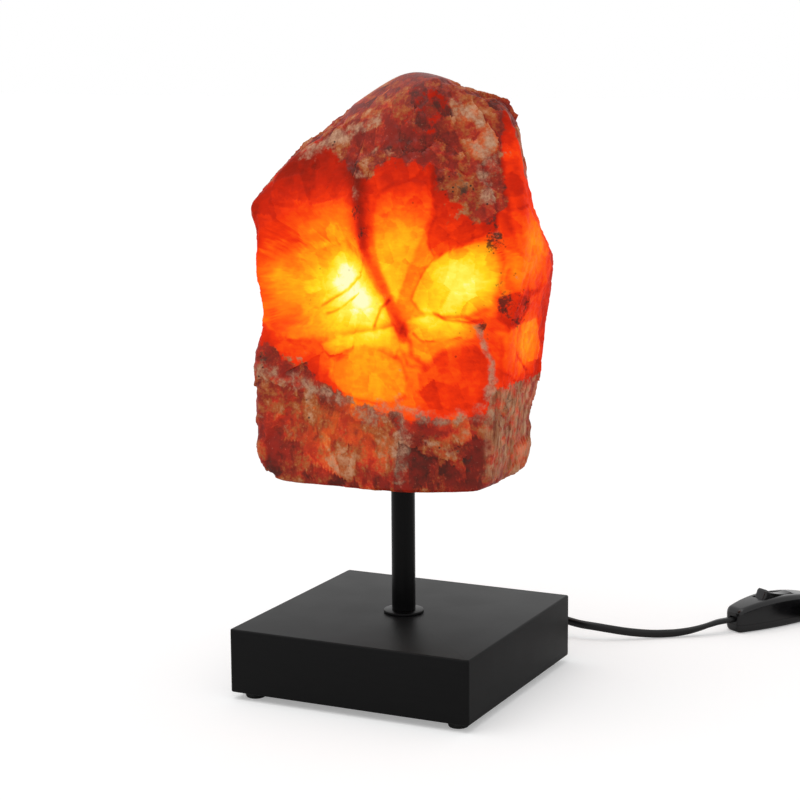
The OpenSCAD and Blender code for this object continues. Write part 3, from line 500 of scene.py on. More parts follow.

# Broken plates: (outline in mm, softness of the rim, change of the glow, change along the way up,
# relief, lean to the right and upwards, change of the glow on the rim, crust)
STONE_PLATES = [
    ([(-64, -38, 233), (-49, -34, 244), (-33, -33, 248), (-15, -37, 245), (-3, -41, 236), (4, -43, 225),
      (11, -44, 216), (17, -44, 206), (6, -44, 201), (-12, -44, 199), (-29, -45, 193), (-45, -45, 194),
      (-56, -44, 202), (-63, -40, 217)], 3.0, 0.03, 0.0, -1.2, (0.0, -0.03), -0.05, 0),
    ([(4, -40, 270), (15, -39, 278), (31, -36, 279), (37, -37, 266), (33, -41, 251), (25, -42, 237),
      (21, -43, 223), (18, -43, 215), (12, -43, 224), (6, -42, 237), (3, -42, 252)], 1.6, 0.05, -0.0022,
      0.4, (0.05, 0.0), -0.04, 0),
    ([(27, -43, 218), (31, -41, 230), (36, -37, 238), (45, -30, 244), (57, -25, 248), (65, -22, 249),
      (66, -17, 237), (65, -16, 221), (62, -18, 213), (51, -25, 208), (39, -35, 209), (31, -43, 212)],
      0.7, 0.1, 0.0, -1.4, (0.0, -0.04), -0.07, 0),
    ([(22, -44, 205), (31, -43, 210), (41, -33, 208), (51, -25, 207), (58, -23, 203), (57, -28, 197),
      (48, -34, 194), (40, -39, 189), (33, -43, 182), (25, -45, 184), (20, -45, 195)], 0.9, 0.06, 0.002,
      -0.4, (0.0, 0.06), -0.06, 0),
    ([(-27, -45, 192), (-11, -44, 198), (6, -44, 200), (17, -44, 204), (20, -45, 195), (18, -45, 188),
      (9, -45, 191), (-1, -45, 192), (-12, -45, 189), (-20, -45, 185)], 0.8, 0.05, 0.004, 0.3,
      (0.0, -0.05), -0.06, 0),
    ([(-22, -46, 175), (-17, -45, 184), (-8, -45, 190), (2, -45, 192), (14, -45, 191), (21, -45, 186),
      (25, -45, 177), (23, -46, 167), (13, -46, 163), (-2, -46, 163), (-14, -46, 167)], 1.2, 0.02,
      -0.003, 0.9, (0.0, 0.03), -0.06, 0),
    ([(31, -44, 180), (41, -38, 191), (56, -29, 194), (61, -27, 189), (64, -25, 178), (63, -26, 162),
      (48, -34, 159), (36, -42, 161), (30, -44, 171)], 0.6, -0.07, -0.001, 0.8, (0.05, 0.03), 0.0,
      -0.6),
    ([(-55, -44, 200), (-44, -45, 193), (-29, -45, 192), (-20, -45, 185), (-23, -46, 174),
      (-14, -46, 165), (-27, -46, 167), (-43, -46, 171), (-56, -46, 176), (-60, -45, 190)], 2.0, -0.06,
      0.004, 0.5, (0.0, -0.05), -0.03, 0),
    ([(-67, -31, 268), (-50, -20, 292), (-28, -21, 302), (-14, -32, 285), (-6, -40, 268),
      (-9, -40, 249), (-32, -34, 249), (-50, -34, 244), (-64, -38, 235)], 3.0, 0.0, -0.0025, 0.6,
      (0.02, -0.03), -0.02, -0.25),
    ([(32, -32, 286), (48, -25, 281), (61, -20, 275), (66, -21, 266), (66, -23, 253), (56, -26, 250),
      (45, -31, 245), (37, -37, 239), (35, -41, 249), (38, -37, 265)], 1.2, -0.1, -0.001, 0.5,
      (-0.03, 0.06), -0.06, 0.24),
    ([(59, 0, 315), (64, 1, 309), (69, 0, 297), (72, -1, 283), (76, -4, 268), (73, -16, 265),
      (68, -17, 273), (63, -11, 293)], 2.6, 0.05, 0.0, 0.3, (0.0, 0.0), 0.0, -0.8),
    ([(69, -20, 263), (76, -5, 266), (76, 17, 245), (74, 32, 229), (74, 13, 219), (72, -14, 221),
      (68, -16, 237)], 1.2, 0.05, 0.0, 0.3, (0.0, 0.02), -0.05, -0.4),
    ([(64, -16, 217), (72, -14, 220), (74, -4, 217), (73, 3, 211), (72, -2, 206), (72, -19, 202),
      (67, -19, 206)], 0.8, -0.1, 0.0, -0.6, (0.0, 0.04), -0.05, 0.15),
    ([(68, -22, 200), (73, -10, 203), (72, 19, 203), (70, 27, 188), (68, 22, 174), (68, -1, 171),
      (68, -22, 180)], 0.8, 0.05, 0.003, 0.3, (0.0, -0.05), -0.05, -0.3),
    ([(40, -11, 323), (49, -3, 321), (60, -4, 312), (63, -11, 293), (62, -17, 281), (56, -15, 294),
      (49, -14, 306)], 0.8, 0.0, 0.0, 0.6, (0.0, 0.0), 0.0, 0.35),
    ([(10, -20, 326), (26, -14, 326), (40, -14, 318), (36, -24, 304), (24, -28, 302), (14, -28, 308)],
      1.0, 0.02, 0.0, 0.5, (0.0, 0.02), -0.03, -0.36),
    ([(-62, -26, 276), (-50, -20, 290), (-38, -24, 288), (-34, -32, 272), (-44, -34, 262),
      (-60, -34, 264)], 1.4, -0.05, -0.002, 0.4, (0.02, -0.02), -0.03, -0.4),
    ([(-11, -47, 151), (3, -47, 151), (13, -47, 150), (12, -48, 133), (-1, -48, 128), (-11, -48, 133)],
      1.6, 0.04, 0.0, -0.5, (0.03, 0.0), -0.03, 0.0),
    ([(-61, -46, 159), (-38, -46, 161), (-15, -47, 154), (-12, -48, 131), (-20, -48, 121),
      (-47, -48, 122), (-61, -47, 130)], 1.6, 0.06, 0.0, -0.5, (0.0, -0.03), -0.03, 0.0),
    ([(22, -46, 154), (40, -39, 149), (58, -29, 152), (63, -25, 145), (60, -19, 119), (40, -38, 119),
      (23, -47, 122)], 1.2, -0.08, 0.0, -0.6, (0.0, 0.05), -0.02, 0.0),
]

# Ridges and cracks in mm: (points, height or depth, half width, change of the glow)
STONE_LINES = [
    ([(-8, -34, 284), (-6, -36, 278), (-2, -41, 259), (-2, -42, 243), (4, -43, 234), (11, -43, 222),
      (16, -44, 212), (20, -44, 204), (22, -44, 198)], 2.2, 3.6, -0.2),
    ([(-12, -34, 284), (-7, -36, 272), (-4, -41, 259), (-2, -42, 247)], 1.0, 6.5, -0.16),
    ([(-3, -42, 238), (-8, -39, 228), (-16, -37, 220), (-23, -36, 216), (-31, -36, 211)], -0.8, 1.0,
      -0.17),
    ([(-7, -41, 219), (-18, -39, 210), (-27, -39, 207)], -0.7, 0.9, -0.15),
    ([(14, -43, 217), (9, -44, 212), (6, -44, 206), (5, -44, 202)], -0.6, 0.9, -0.2),
    ([(36, -37, 210), (42, -33, 207), (52, -26, 205), (58, -23, 206)], -0.6, 0.9, -0.2),
    ([(28, -44, 200), (33, -43, 196), (40, -38, 195), (50, -32, 197)], -0.5, 0.8, -0.14),
    ([(22, -44, 204), (26, -44, 196), (27, -44, 188), (33, -43, 184)], 0.8, 1.6, -0.14),
    ([(-66, -44, 207), (-56, -44, 200), (-48, -44, 196), (-40, -45, 195)], 1.2, 1.8, 0.08),
    ([(57, -22, 262), (64, -20, 255), (67, -18, 245), (66, -17, 232), (64, -17, 220)], 1.2, 2.0, -0.1),
    ([(70, -16, 262), (72, -14, 250), (70, -14, 238), (70, -15, 226)], -0.8, 1.0, -0.12),
    ([(63, -11, 293), (68, -17, 273), (70, -18, 262)], -0.8, 1.2, -0.16),
    ([(70, -16, 262), (74, -8, 246), (73, 4, 232)], -0.6, 0.9, -0.14),
    ([(72, -14, 250), (75, 0, 240), (74, 14, 226)], -0.6, 0.9, -0.12),
    ([(68, -17, 244), (73, -8, 230), (73, 8, 222)], -0.6, 0.9, -0.14),
    ([(69, -20, 198), (70, -6, 186), (69, 10, 176)], -0.6, 0.9, -0.12),
    ([(-34, -33, 248), (-26, -36, 240), (-22, -36, 232)], -0.5, 0.8, -0.06),
    ([(44, -31, 243), (50, -26, 232), (54, -24, 222), (52, -25, 214)], 0.4, 0.9, -0.05),
]
# Pale veins: (points, half width, strength)
STONE_VEINS = [
    ([(56, -20, 285), (60, -20, 277), (62, -23, 268)], 3.6, 0.85),
    ([(62, -23, 268), (65, -24, 258), (66, -22, 250)], 2.6, 0.62),
    ([(50, -20, 300), (56, -16, 292), (61, -14, 284)], 4.0, 0.75),
    ([(57, -24, 203), (60, -27, 195), (64, -25, 185), (65, -24, 175), (62, -26, 165)], 2.0, 0.95),
    ([(-68, -44, 176), (-49, -46, 172), (-32, -46, 168), (-18, -46, 162), (-7, -47, 157), (5, -47, 155),
      (12, -46, 159), (19, -46, 161), (31, -44, 156), (41, -39, 155), (55, -30, 158), (64, -26, 156)],
      5.0, 0.7),
    ([(19, -46, 163), (23, -46, 150), (22, -47, 139), (21, -47, 122)], 4.4, 0.78),
    ([(-24, -30, 300), (-12, -34, 290), (-8, -36, 280), (-6, -38, 268)], 3.6, 0.68),
    ([(-44, -22, 290), (-30, -22, 300), (-14, -24, 304), (2, -22, 310)], 4.5, 0.72),
    ([(2, -22, 310), (12, -25, 302), (22, -28, 296), (30, -30, 290)], 3.2, 0.55),
    ([(-10, -33, 290), (4, -30, 296), (16, -30, 288), (26, -34, 282)], 2.6, 0.52),
    ([(-72, -34, 262), (-72, -32, 254), (-70, -34, 246)], 2.6, 0.6),
    ([(40, -16, 318), (50, -12, 308), (60, -10, 294)], 4.4, 0.72),
    ([(-64, -46, 150), (-50, -46, 144), (-36, -47, 138)], 2.4, 0.45),
    ([(34, -42, 141), (44, -37, 137), (56, -30, 132)], 2.2, 0.5),
    ([(-70, 30, 260), (-30, 44, 245), (10, 45, 250), (50, 40, 236), (70, 20, 240)], 3.6, 0.7),
    ([(-60, 40, 180), (-20, 45, 170), (20, 45, 176), (60, 38, 162)], 4.4, 0.72),
    ([(-20, 44, 170), (-14, 44, 150), (-18, 44, 126)], 3.0, 0.6),
]
# Light and dark places: (point, radius, change of the glow)
STONE_SPOTS = [
    ((-19, -35, 227), 9, 0.2), ((-4, -42, 216), 7, 0.2), ((-14, -40, 217), 24, 0.19),
    ((4, -44, 206), 13, 0.1), ((46, -28, 228), 20, 0.16), ((34, -42, 208), 7, 0.24),
    ((44, -34, 202), 10, 0.14), ((58, -22, 224), 13, 0.12), ((6, -46, 178), 14, 0.03),
    ((-52, -38, 222), 17, 0.12), ((-62, -40, 226), 12, 0.08), ((-60, -36, 207), 10, 0.1),
    ((20, -40, 250), 14, 0.1), ((28, -38, 262), 16, 0.05), ((-36, -28, 282), 20, -0.03),
    ((10, -34, 280), 14, -0.08), ((-28, -45, 180), 12, -0.06), ((74, 10, 252), 24, 0.1),
    ((72, -6, 244), 20, 0.2), ((72, 4, 190), 16, 0.2), ((68, 0, 290), 18, 0.12),
    ((0, 43, 222), 28, 0.2), ((-36, 42, 214), 18, 0.06), ((34, 43, 208), 18, 0.1),
    ((-74, -10, 230), 22, 0.1), ((-74, 12, 214), 18, 0.06), ((10, -20, 318), 16, 0.06),
    ((0, -47, 141), 13, 0.03), ((-36, -47, 140), 20, 0.05)]
# Sooty dark places: (point, radius, strength)
STONE_SOOT = [
    ((49, -26, 273), 3.6, 1.0), ((58, -22, 262), 6, 0.85), ((63, -22, 257), 6, 0.9),
    ((52, -26, 268), 7, 0.5), ((44, -28, 278), 6, 0.5), ((70, -14, 214), 9, 0.8),
    ((74, -2, 213), 9, 0.7), ((71, -10, 206), 7, 0.7), ((66, -18, 222), 6, 0.6),
    ((59, -24, 203), 3.4, 1.0), ((61, -24, 197), 3.0, 0.8), ((50, -30, 131), 14, 0.55),
    ((38, -38, 148), 10, 0.45), ((-64, -44, 183), 8, 0.6), ((-68, -42, 172), 7, 0.6),
    ((-5, -39, 262), 7, 0.62), ((-2, -41, 250), 5, 0.7), ((-22, -32, 276), 8, 0.45),
    ((4, -20, 316), 9, 0.5), ((28, -18, 318), 9, 0.4), ((-60, -46, 124), 10, 0.5),
    ((-30, 40, 262), 14, 0.5), ((40, 40, 150), 16, 0.5), ((70, -10, 160), 9, 0.5),
    ((65, -22, 247), 7, 0.85), ((72, 20, 262), 12, 0.3)]
# Paler and darker places of the crust: (point, radius, change of the tone)
STONE_TONES = [
    ((-44, -46, 142), 22, -0.005), ((-4, -47, 140), 20, 0.02), ((44, -36, 140), 24, -0.045),
    ((30, -44, 128), 12, -0.05), ((-60, -44, 184), 13, -0.05), ((-40, -46, 168), 18, 0.03),
    ((-62, -44, 126), 12, -0.05), ((6, -24, 316), 14, 0.02), ((20, -34, 286), 22, -0.05),
    ((34, -26, 300), 14, -0.02), ((46, -12, 314), 10, 0.07), ((54, -14, 300), 10, 0.06),
    ((-20, -26, 298), 12, 0.05), ((-50, -22, 288), 14, -0.06), ((-4, -28, 304), 10, 0.05),
    ((30, -16, 316), 14, -0.04), ((-40, -24, 288), 9, 0.05), ((8, -10, 326), 10, -0.03),
    ((12, -26, 300), 8, -0.05), ((-70, -34, 258), 10, 0.06), ((24, -22, 308), 12, -0.02),
    ((60, -22, 262), 10, -0.04)]
# Fuller places of the form: (point, radius, height) in mm
STONE_SWELLS = [
    ((74, 24, 165), 18, 1.8), ((76, 20, 235), 18, 1.4), ((68, 24, 124), 12, 2.5),
    ((-73, -36, 263), 9, 4.5), ((52, 10, 322), 12, 3.0), ((-58, -20, 286), 12, 1.5)]
# Heights at which the crust starts at the top and ends at the bottom, against x in mm
CRUST_TOP = ( (-75, 264), (-62, 281), (-49, 291), (-37, 297), (-24, 288), (-12, 276), (-2, 280),
             (8, 292), (21, 286), (30, 284), (38, 279), (50, 268), (62, 256), (68, 262), (80, 300))
CRUST_LOW = ( (-75, 195), (-60, 192), (-49, 186), (-32, 178), (-18, 169), (-4, 161), (13, 159),
             (31, 158), (46, 157), (60, 160), (66, 172), (80, 176))


def heading(turn, tilt):
    """The way that a turn from the front to the right and a tilt up point."""
    a, e = np.radians(turn), np.radians(tilt)
    return np.stack(np.broadcast_arrays(np.sin(a) * np.cos(e), -np.cos(a) * np.cos(e), np.sin(e)), -1)


def stone_reach(ways, sharp):
    """Distance of the stone's surface from its middle, along each way."""
    faces = np.array(STONE_FACES, float)
    slopes = ways @ (heading(faces[:, 0], faces[:, 1]) / faces[:, 2:3]).T
    pull = (np.clip(slopes, 0, None) ** sharp).sum(-1)
    for turn, tilt, deep, radius in STONE_HOLLOWS:
        centre = heading(turn, tilt) * (deep + radius)
        along = ways @ centre
        left = along ** 2 - centre @ centre + radius ** 2
        hit = (along > 0) & (left > 0)
        pull += np.where(hit, (along - np.sqrt(np.where(hit, left, 0)) + ~hit) ** -float(sharp), 0)
    return pull ** (-1 / sharp)


def soft(value, low, high):
    """0 up to low, 1 from high on, and smooth between them."""
    t = np.clip((value - low) / (high - low), 0, 1)
    return t * t * (3 - 2 * t)


def near(points, at, radius):
    """1 at a place on the stone, falling off over a radius."""
    return np.exp(-((points - at) ** 2).sum(1) / radius ** 2)


def near_line(points, line, width, fall=1.0):
    """1 on a line of straight stretches, falling off over a half width."""
    best = np.full(len(points), FAR)
    for a, b in zip(np.array(line[:-1], float), np.array(line[1:], float)):
        along = np.clip((points - a) @ (b - a) / ((b - a) @ (b - a)), 0, 1)
        best = np.minimum(best, np.linalg.norm(points - a - along[:, None] * (b - a), axis=1))
    return np.exp(-(best / width) ** 2 * fall)


def sway(seat):
    """A smooth push that is the same in every run, which noise_vector isn't."""
    return Vector([noise.noise(seat + shift) for shift in SWAY])


def ragged(points):
    """Small pushes that make a rim run unevenly."""
    out = np.empty((len(points), 3))
    for i, p in enumerate(points):
        seat = Vector(p)
        out[i] = sway(seat / 7) * 0.7 + sway(seat / 2.6) * 0.3
    return out


def plate_mask(points, outline):
    """How far inside a broken plate's outline each point lies in mm, and where it is in the plate."""
    ring = np.array(outline, float)
    middle = ring.mean(0)
    out = np.linalg.svd(ring - middle)[2][2]
    across = np.cross((0, 0, 1), out)
    rise = np.cross(out, across)
    axes = np.array([across / np.linalg.norm(across), rise / np.linalg.norm(rise)])
    flat, where = (ring - middle) @ axes.T, (points - middle) @ axes.T
    x, y = where.T
    far, inside = np.full(len(points), FAR), np.zeros(len(points), bool)
    for (ax, ay), (bx, by) in zip(flat, np.roll(flat, -1, 0)):
        dx, dy = bx - ax, by - ay
        along = np.clip(((x - ax) * dx + (y - ay) * dy) / (dx ** 2 + dy ** 2), 0, 1)
        far = np.minimum(far, np.hypot(x - ax - along * dx, y - ay - along * dy))
        with np.errstate(divide="ignore", invalid="ignore"):
            inside ^= ((ay > y) != (by > y)) & (x < dx * (y - ay) / dy + ax)
    close = np.abs((points - middle) @ out) < PLATE_REACH
    return np.where(close, np.where(inside, far, -far), -FAR), where


def stone_marks(points, push, plates):
    """What varies over the stone: its glow, crust, veins, soot, striated flank and crust's tone."""
    uneven = points + push * STONE_NAP[1]
    deep = points - np.outer(np.clip(points[:, 2], *GLOW_CORE), UP)
    glow = GLOW_MOST * np.exp((GLOW_REACH - np.linalg.norm(deep, axis=1)) / GLOW_FALL)
    for at, radius, change in STONE_SPOTS:
        glow += change * near(points, at, radius)
    for line, _, width, change in STONE_LINES:
        glow += change * near_line(points + push * STONE_NAP[0], line, width)
    x, z = uneven[:, 0], uneven[:, 2]
    crust = np.maximum(soft(z - np.interp(x, *zip(*CRUST_TOP)), *TOP_EDGE),
                       soft(np.interp(x, *zip(*CRUST_LOW)) - z, *LOW_EDGE))
    worn = soft(push[:, 0] + push[:, 2], *WORN)
    for (_, rim, change, upward, _, _, edge, cover), (far, where) in zip(STONE_PLATES, plates):
        mask = soft(far, -rim, rim)
        line = np.exp(-(far / (rim * RIM_FADE[0] + RIM_FADE[1])) ** 2)
        glow += mask * (change + upward * where[:, 1]) + RIM_GLOW * edge * worn * line
        crust += mask * cover
    vein, soot, tone = np.zeros((3, len(points)))
    for line, width, strength in STONE_VEINS:
        vein = np.maximum(vein, strength * near_line(uneven, line, width, VEIN_FALL))
    for at, radius, strength in STONE_SOOT:
        soot = np.maximum(soot, strength * near(uneven, at, radius))
    for at, radius, change in STONE_TONES:
        tone += change * near(uneven, at, radius)
    flank = (soft(points[:, 0] + push[:, 1] * 3, *FLANK_X)
             * soft(points[:, 2] - 0.4 * points[:, 1] + push[:, 0] * 12, *FLANK_Z))
    return {"glow": glow, "crust": np.clip(crust, 0, 1), "vein": vein, "soot": soot,
            "striae": flank, "tone": tone}


def stone_relief(points, marks, push, plates):
    """Broken plates, ridges, facets and fine roughness, in mm along the way out. The facets also paint
    light and shade into the marks for glow and tone, lighter where they rise to the right and upwards
    and where they stand higher, besides an offset of their own."""
    lift, facet_light_and_tone = np.zeros((2, len(points)))
    rough = 0.4 + 0.6 * marks["crust"]      # the lit stone is smoother than its crust
    for (_, rim, _, _, height, (right, upward), _, _), (far, where) in zip(STONE_PLATES, plates):
        lift += soft(far, -rim * 0.6, rim * 0.6) * (height + right * where[:, 0] + upward * where[:, 1])
    for wide, tilt, weight in STONE_FACETS:
        for i, p in enumerate(points):
            seat = Vector(p) / wide
            seed = noise.voronoi(seat)[1][0]
            lean = sway(seed * 3.7) * 1.4
            step = (seat - seed).dot(lean) + 0.5 * (noise.cell(seed * 5.1) - 0.5)
            lift[i] += rough[i] * wide * tilt * step
            # painted light and shade: the facet's tilt to the right and upwards and its height make it
            # lighter, on top of its own random offset
            facet_light_and_tone[i] += weight * (lean.x + lean.z * 0.6 + step)
    for i, p in enumerate(points):
        seat = Vector(p)
        broken, grain = noise.fractal(seat / 6.0, 0.9, 2.1, 4), noise.noise(seat / 1.9)
        lift[i] += rough[i] * 0.7 * broken + 0.2 * grain
    for at, radius, height in STONE_SWELLS:
        lift += height * near(points, at, radius)
    for line, height, width, _ in STONE_LINES:
        lift += height * near_line(points, line, width)
    for line, width, strength in STONE_VEINS:
        lift += VEIN_HEIGHT * strength * near_line(points, line, width)
    ribs = np.sin(points[:, 1] * 1.9 + 2.2 * np.sin(points[:, 1] * 0.37) + push[:, 2] * 4)
    lift += marks["striae"] * (ribs * RIB_HEIGHT)
    # the facets' painted light and shade, with their own offsets, go into the glow and the crust's tone
    marks["glow"] += facet_light_and_tone
    marks["tone"] += facet_light_and_tone * FACET_TONE
    return lift


# ---------------------------------------------------------------- sizes and colours
def size(label, text, default, low=0.0, high=1000.0):
    return bpy.props.FloatProperty(name=label, description=text, default=default, min=low, max=high)


def count(label, text, default, low, high):
    return bpy.props.IntProperty(name=label, description=text, default=default, min=low, max=high)


def tint(label, text, default):
    return bpy.props.FloatVectorProperty(
        name=label, description=text, default=default, size=3, subtype="COLOR", min=0.0, max=1.0)


def length(label, text, default):
    return bpy.props.FloatProperty(name=label, description=text, default=default, unit="LENGTH",
                                   min=0.0)


class StageSettings(bpy.types.PropertyGroup):
    """The camera, the light and the table"""
    lens: size("Lens", "Focal length for a 36 mm wide sensor", 95.69, 10, 500)
    place: bpy.props.FloatVectorProperty(
        name="Camera place", description="Where the camera stands", default=(0.4931, -1.0199, 0.3553),
        size=3, subtype="TRANSLATION", unit="LENGTH")
    turn: size("Turn", "Turn of the camera from the front to the right in degrees", 25.87, -180, 180)
    tilt: size("Tilt", "How far the camera looks down, in degrees", 9.92, -90, 90)
    roll: size("Roll", "Roll of the camera in degrees", -0.386, -90, 90)
    daylight: size("Daylight", "Strength of the even light from all round", 0.60, 0, 5)
    key: size("Key light", "Irradiance of the soft lamp over the left shoulder", 1.1, 0, 20)
    floor: tint("Table", "Colour of the table", (0.78, 0.78, 0.78))


class StoneSettings(bpy.types.PropertyGroup):
    """The block of aragonite"""
    sharp: size("Sharpness", "How sharp the broken edges are", 32, 8, 60)
    turns: count("Points round", "Points round the stone", 560, 48, 900)
    rows: count("Rows", "Rows of points from top to bottom", 300, 40, 500)
    sheen: size("Sheen", "Specular level of the stone", 0.025, 0, 1)
    crust_dark: tint("Crust, dark", "Darkest colour of the crust", (0.075, 0.013, 0.007))
    crust_red: tint("Crust, red", "Brick red of the crust", (0.31, 0.028, 0.010))
    crust_brown: tint("Crust, brown", "Orange brown of the crust", (0.45, 0.115, 0.026))
    crust_pink: tint("Crust, pink", "Palest colour of the crust", (0.64, 0.32, 0.17))
    # the veins' palest colour, and also the colour of the painted glints on the crust
    pale_vein_and_glint: tint("Vein, pale", "Palest colour of the veins", (0.68, 0.40, 0.26))
    vein_grey: tint("Vein, grey", "Darkest colour of the veins", (0.27, 0.12, 0.07))


class BaseSettings(bpy.types.PropertyGroup):
    """The lacquered base and the stem"""
    side: length("Side", "Side of the base block", 140 * MM)
    bevel: length("Edge", "Round of the base block's upper and lower edges", 0.9 * MM)
    colour: tint("Lacquer", "Colour of the lacquer", (0.006, 0.006, 0.0062))
    roughness: size("Roughness", "Roughness of the lacquer", 0.43, 0, 1)
    sheen: size("Sheen", "Specular level of the lacquer", 0.09, 0, 1)


class LeadSettings(bpy.types.PropertyGroup):
    """The flat two-core cord"""
    width: length("Width", "Width of the flat cord", 4.8 * MM)
    thickness: length("Thickness", "Thickness of the flat cord", 3.2 * MM)


# ---------------------------------------------------------------- cord routes, as in the part's source
SWITCH_AT, SWITCH_TURN = Vector((136.4, 166.4, 0)), math.radians(58)
SWITCH_L, SWITCH_CORD_Z, SWITCH_GRIP = 64.0, 8.0, 7       # its length, its cords' height and hold
COIL_AT, COIL_TURN, COIL_LOOPS, COIL_R = Vector((212, 219, 0)), 148.0, 8.41, 36.0
COIL_PITCH, COIL_RISE, COIL_Z, COIL_RINGS = 3.65, 5.25, 3.1, 24
CORD_W = 4.8
EXIT_Z, WALL_Y, RELIEF_Y = 17.0, 70.0, 91.5               # the cord's way out of the base
PLUG_Z, PLUG_RELIEF_Y = 6.85, 187.0
LAMP_ROUTE = [
    (1, 102.5, 16.8, 90), (3.8, 108, 16.3, 90), (8.2, 112.5, 15.6, 90), (14, 115.5, 14.9, 90),
    (21, 116.8, 14.2, 90), (28, 117, 13.5, 90), (35, 116.5, 12.8, 90), (43, 115.3, 11.9, 90),
    (51, 114.4, 10.6, 90), (60, 114.5, 9.2, 90), (68.5, 116.4, 8.2, 90), (76.5, 119.6, 6.8, 90),
    (84, 123.8, 5.2, 90), (91, 128.4, 3.9, 90), (97.7, 133, 3, 88), (104, 137.3, 2.7, 82),
    (110, 141.5, 2.8, 70), (116, 145.9, 3.5, 52), (121.6, 150.2, 4.8, 34), (126.4, 154.4, 6.3, 18),
    (130.6, 158.8, 7.4, 6)]                               # (x, y, z, roll of the flat cord)


def in_switch(x, z=SWITCH_CORD_Z):
    """A point of the cord inside the switch, x from the switch's end, where it lies flat."""
    return (*SWITCH_AT + Vector((x * math.cos(SWITCH_TURN), x * math.sin(SWITCH_TURN), z)), 0)


def lamp_points():
    """The route from the bore in the base's back over the table into the switch."""
    start = [(0, y, EXIT_Z, 90) for y in (WALL_Y, RELIEF_Y, RELIEF_Y + CORD_W)]
    end = [in_switch(0, SWITCH_CORD_Z - 0.4), in_switch(2), in_switch(SWITCH_GRIP)]
    return start + LAMP_ROUTE + end


def ahead(point, turn, way):
    """A point moved on by a way on the table."""
    a = math.radians(turn)
    return (point[0] + way * math.cos(a), point[1] + way * math.sin(a), point[2], point[3])


def coil_point(loops):
    """A point of the coil, which winds inwards below and outwards again above."""
    m, a = loops - COIL_LOOPS / 2, math.radians(COIL_TURN - 360 * loops)
    r = COIL_R - COIL_PITCH * COIL_LOOPS / 2 + COIL_PITCH * abs(m)
    rise = math.radians(90 * min(1, max(-1, 4 * m)))
    return (COIL_AT.x + r * math.cos(a), COIL_AT.y + r * math.sin(a),
            COIL_Z + COIL_RISE * (1 + math.sin(rise)) / 2, 90)


def slope(z0, z1, t):
    """A height on a long soft slope from z0 to z1."""
    return z0 + (z1 - z0) * ((1 - math.cos(math.pi * t)) / 2)


def plug_lead_points():
    """The route from the switch down into the coil, through its turns and on to the plug."""
    end_turn = COIL_TURN - 360 * COIL_LOOPS
    start = ahead(coil_point(0), COIL_TURN - 90, -CORD_W)
    end = ahead(coil_point(COIL_LOOPS), end_turn - 90, CORD_W)
    lead_in = ahead(start, COIL_TURN - 90, -CORD_W / 2)
    lead_out = ahead(end, end_turn - 90, CORD_W / 2)
    out = in_switch(SWITCH_L + 2)
    points = [in_switch(SWITCH_L - SWITCH_GRIP), out]
    points += [(out[0] + (lead_in[0] - out[0]) * t, out[1] + (lead_in[1] - out[1]) * t,
                slope(SWITCH_CORD_Z, COIL_Z, t), 90 * t) for t in (0.25, 0.5, 0.75)]
    steps = math.floor(COIL_LOOPS * COIL_RINGS)
    points += [lead_in, start] + [coil_point(i * COIL_LOOPS / steps) for i in range(steps + 1)]
    points += [end, lead_out]
    tail = PLUG_RELIEF_Y + CORD_W / 2
    points += [(plug_x(), end[1] + (tail - end[1]) * t, slope(end[2], PLUG_Z, t), 90 * (1 - t))
               for t in (0.3, 0.55, 0.8)]
    return points + [(plug_x(), tail, PLUG_Z, 0), (plug_x(), PLUG_RELIEF_Y, PLUG_Z, 0)]


def plug_x():
    return COIL_AT.x + COIL_R * math.cos(math.radians(COIL_TURN - 360 * COIL_LOOPS))


def flat_cord(points, finer, sides=20):
    """A smooth tube of rounded flat section through the route's points."""
    lead = bpy.context.scene.lamp_lead
    p = np.array(points, float)
    p = np.vstack([2 * p[0] - p[1], p, 2 * p[-1] - p[-2]])
    fine = []
    for i in range(1, len(p) - 2):
        a, b, c, d = p[i - 1:i + 3]
        for t in np.arange(finer) / finer:
            fine.append(0.5 * (2 * b + (c - a) * t + (2 * a - 5 * b + 4 * c - d) * t ** 2
                               + (3 * b - a - 3 * c + d) * t ** 3))
    fine.append(p[-2])
    half, r = (lead.width - lead.thickness) / 2 / MM, lead.thickness / 2 / MM
    section = []
    for k in range(sides):
        a = TAU * (k + 0.5) / sides
        section.append((math.copysign(half, math.cos(a)) + r * math.cos(a), r * math.sin(a)))
    rings = []
    for i, q in enumerate(fine):
        way = Vector((fine[min(i + 1, len(fine) - 1)] - fine[max(i - 1, 0)])[:3]).normalized()
        side = way.cross(UP).normalized()
        up, roll = side.cross(way), math.radians(q[3])
        wide = side * math.cos(roll) + up * math.sin(roll)
        thin = up * math.cos(roll) - side * math.sin(roll)
        rings.append([Vector(q[:3]) + wide * x + thin * y for x, y in section])
    return skin(rings)


def metres(points):
    return [tuple(v * MM for v in p[:3]) for p in points]


# ---------------------------------------------------------------- operators
WHITE = (1, 1, 1)
KEY_WAY, KEY_ANGLE = Vector((-0.22, -0.30, 1.0)).normalized(), math.radians(60)
TABLE_HALF, TABLE_LIFT = 9000, (0.32, 0.32, 0.32)


class Maker:
    """What the operators share: each makes its pieces, and an error in one stops the script."""
    bl_options = {"REGISTER", "UNDO"}

    def execute(self, context):
        self.make(context)
        return {"FINISHED"}


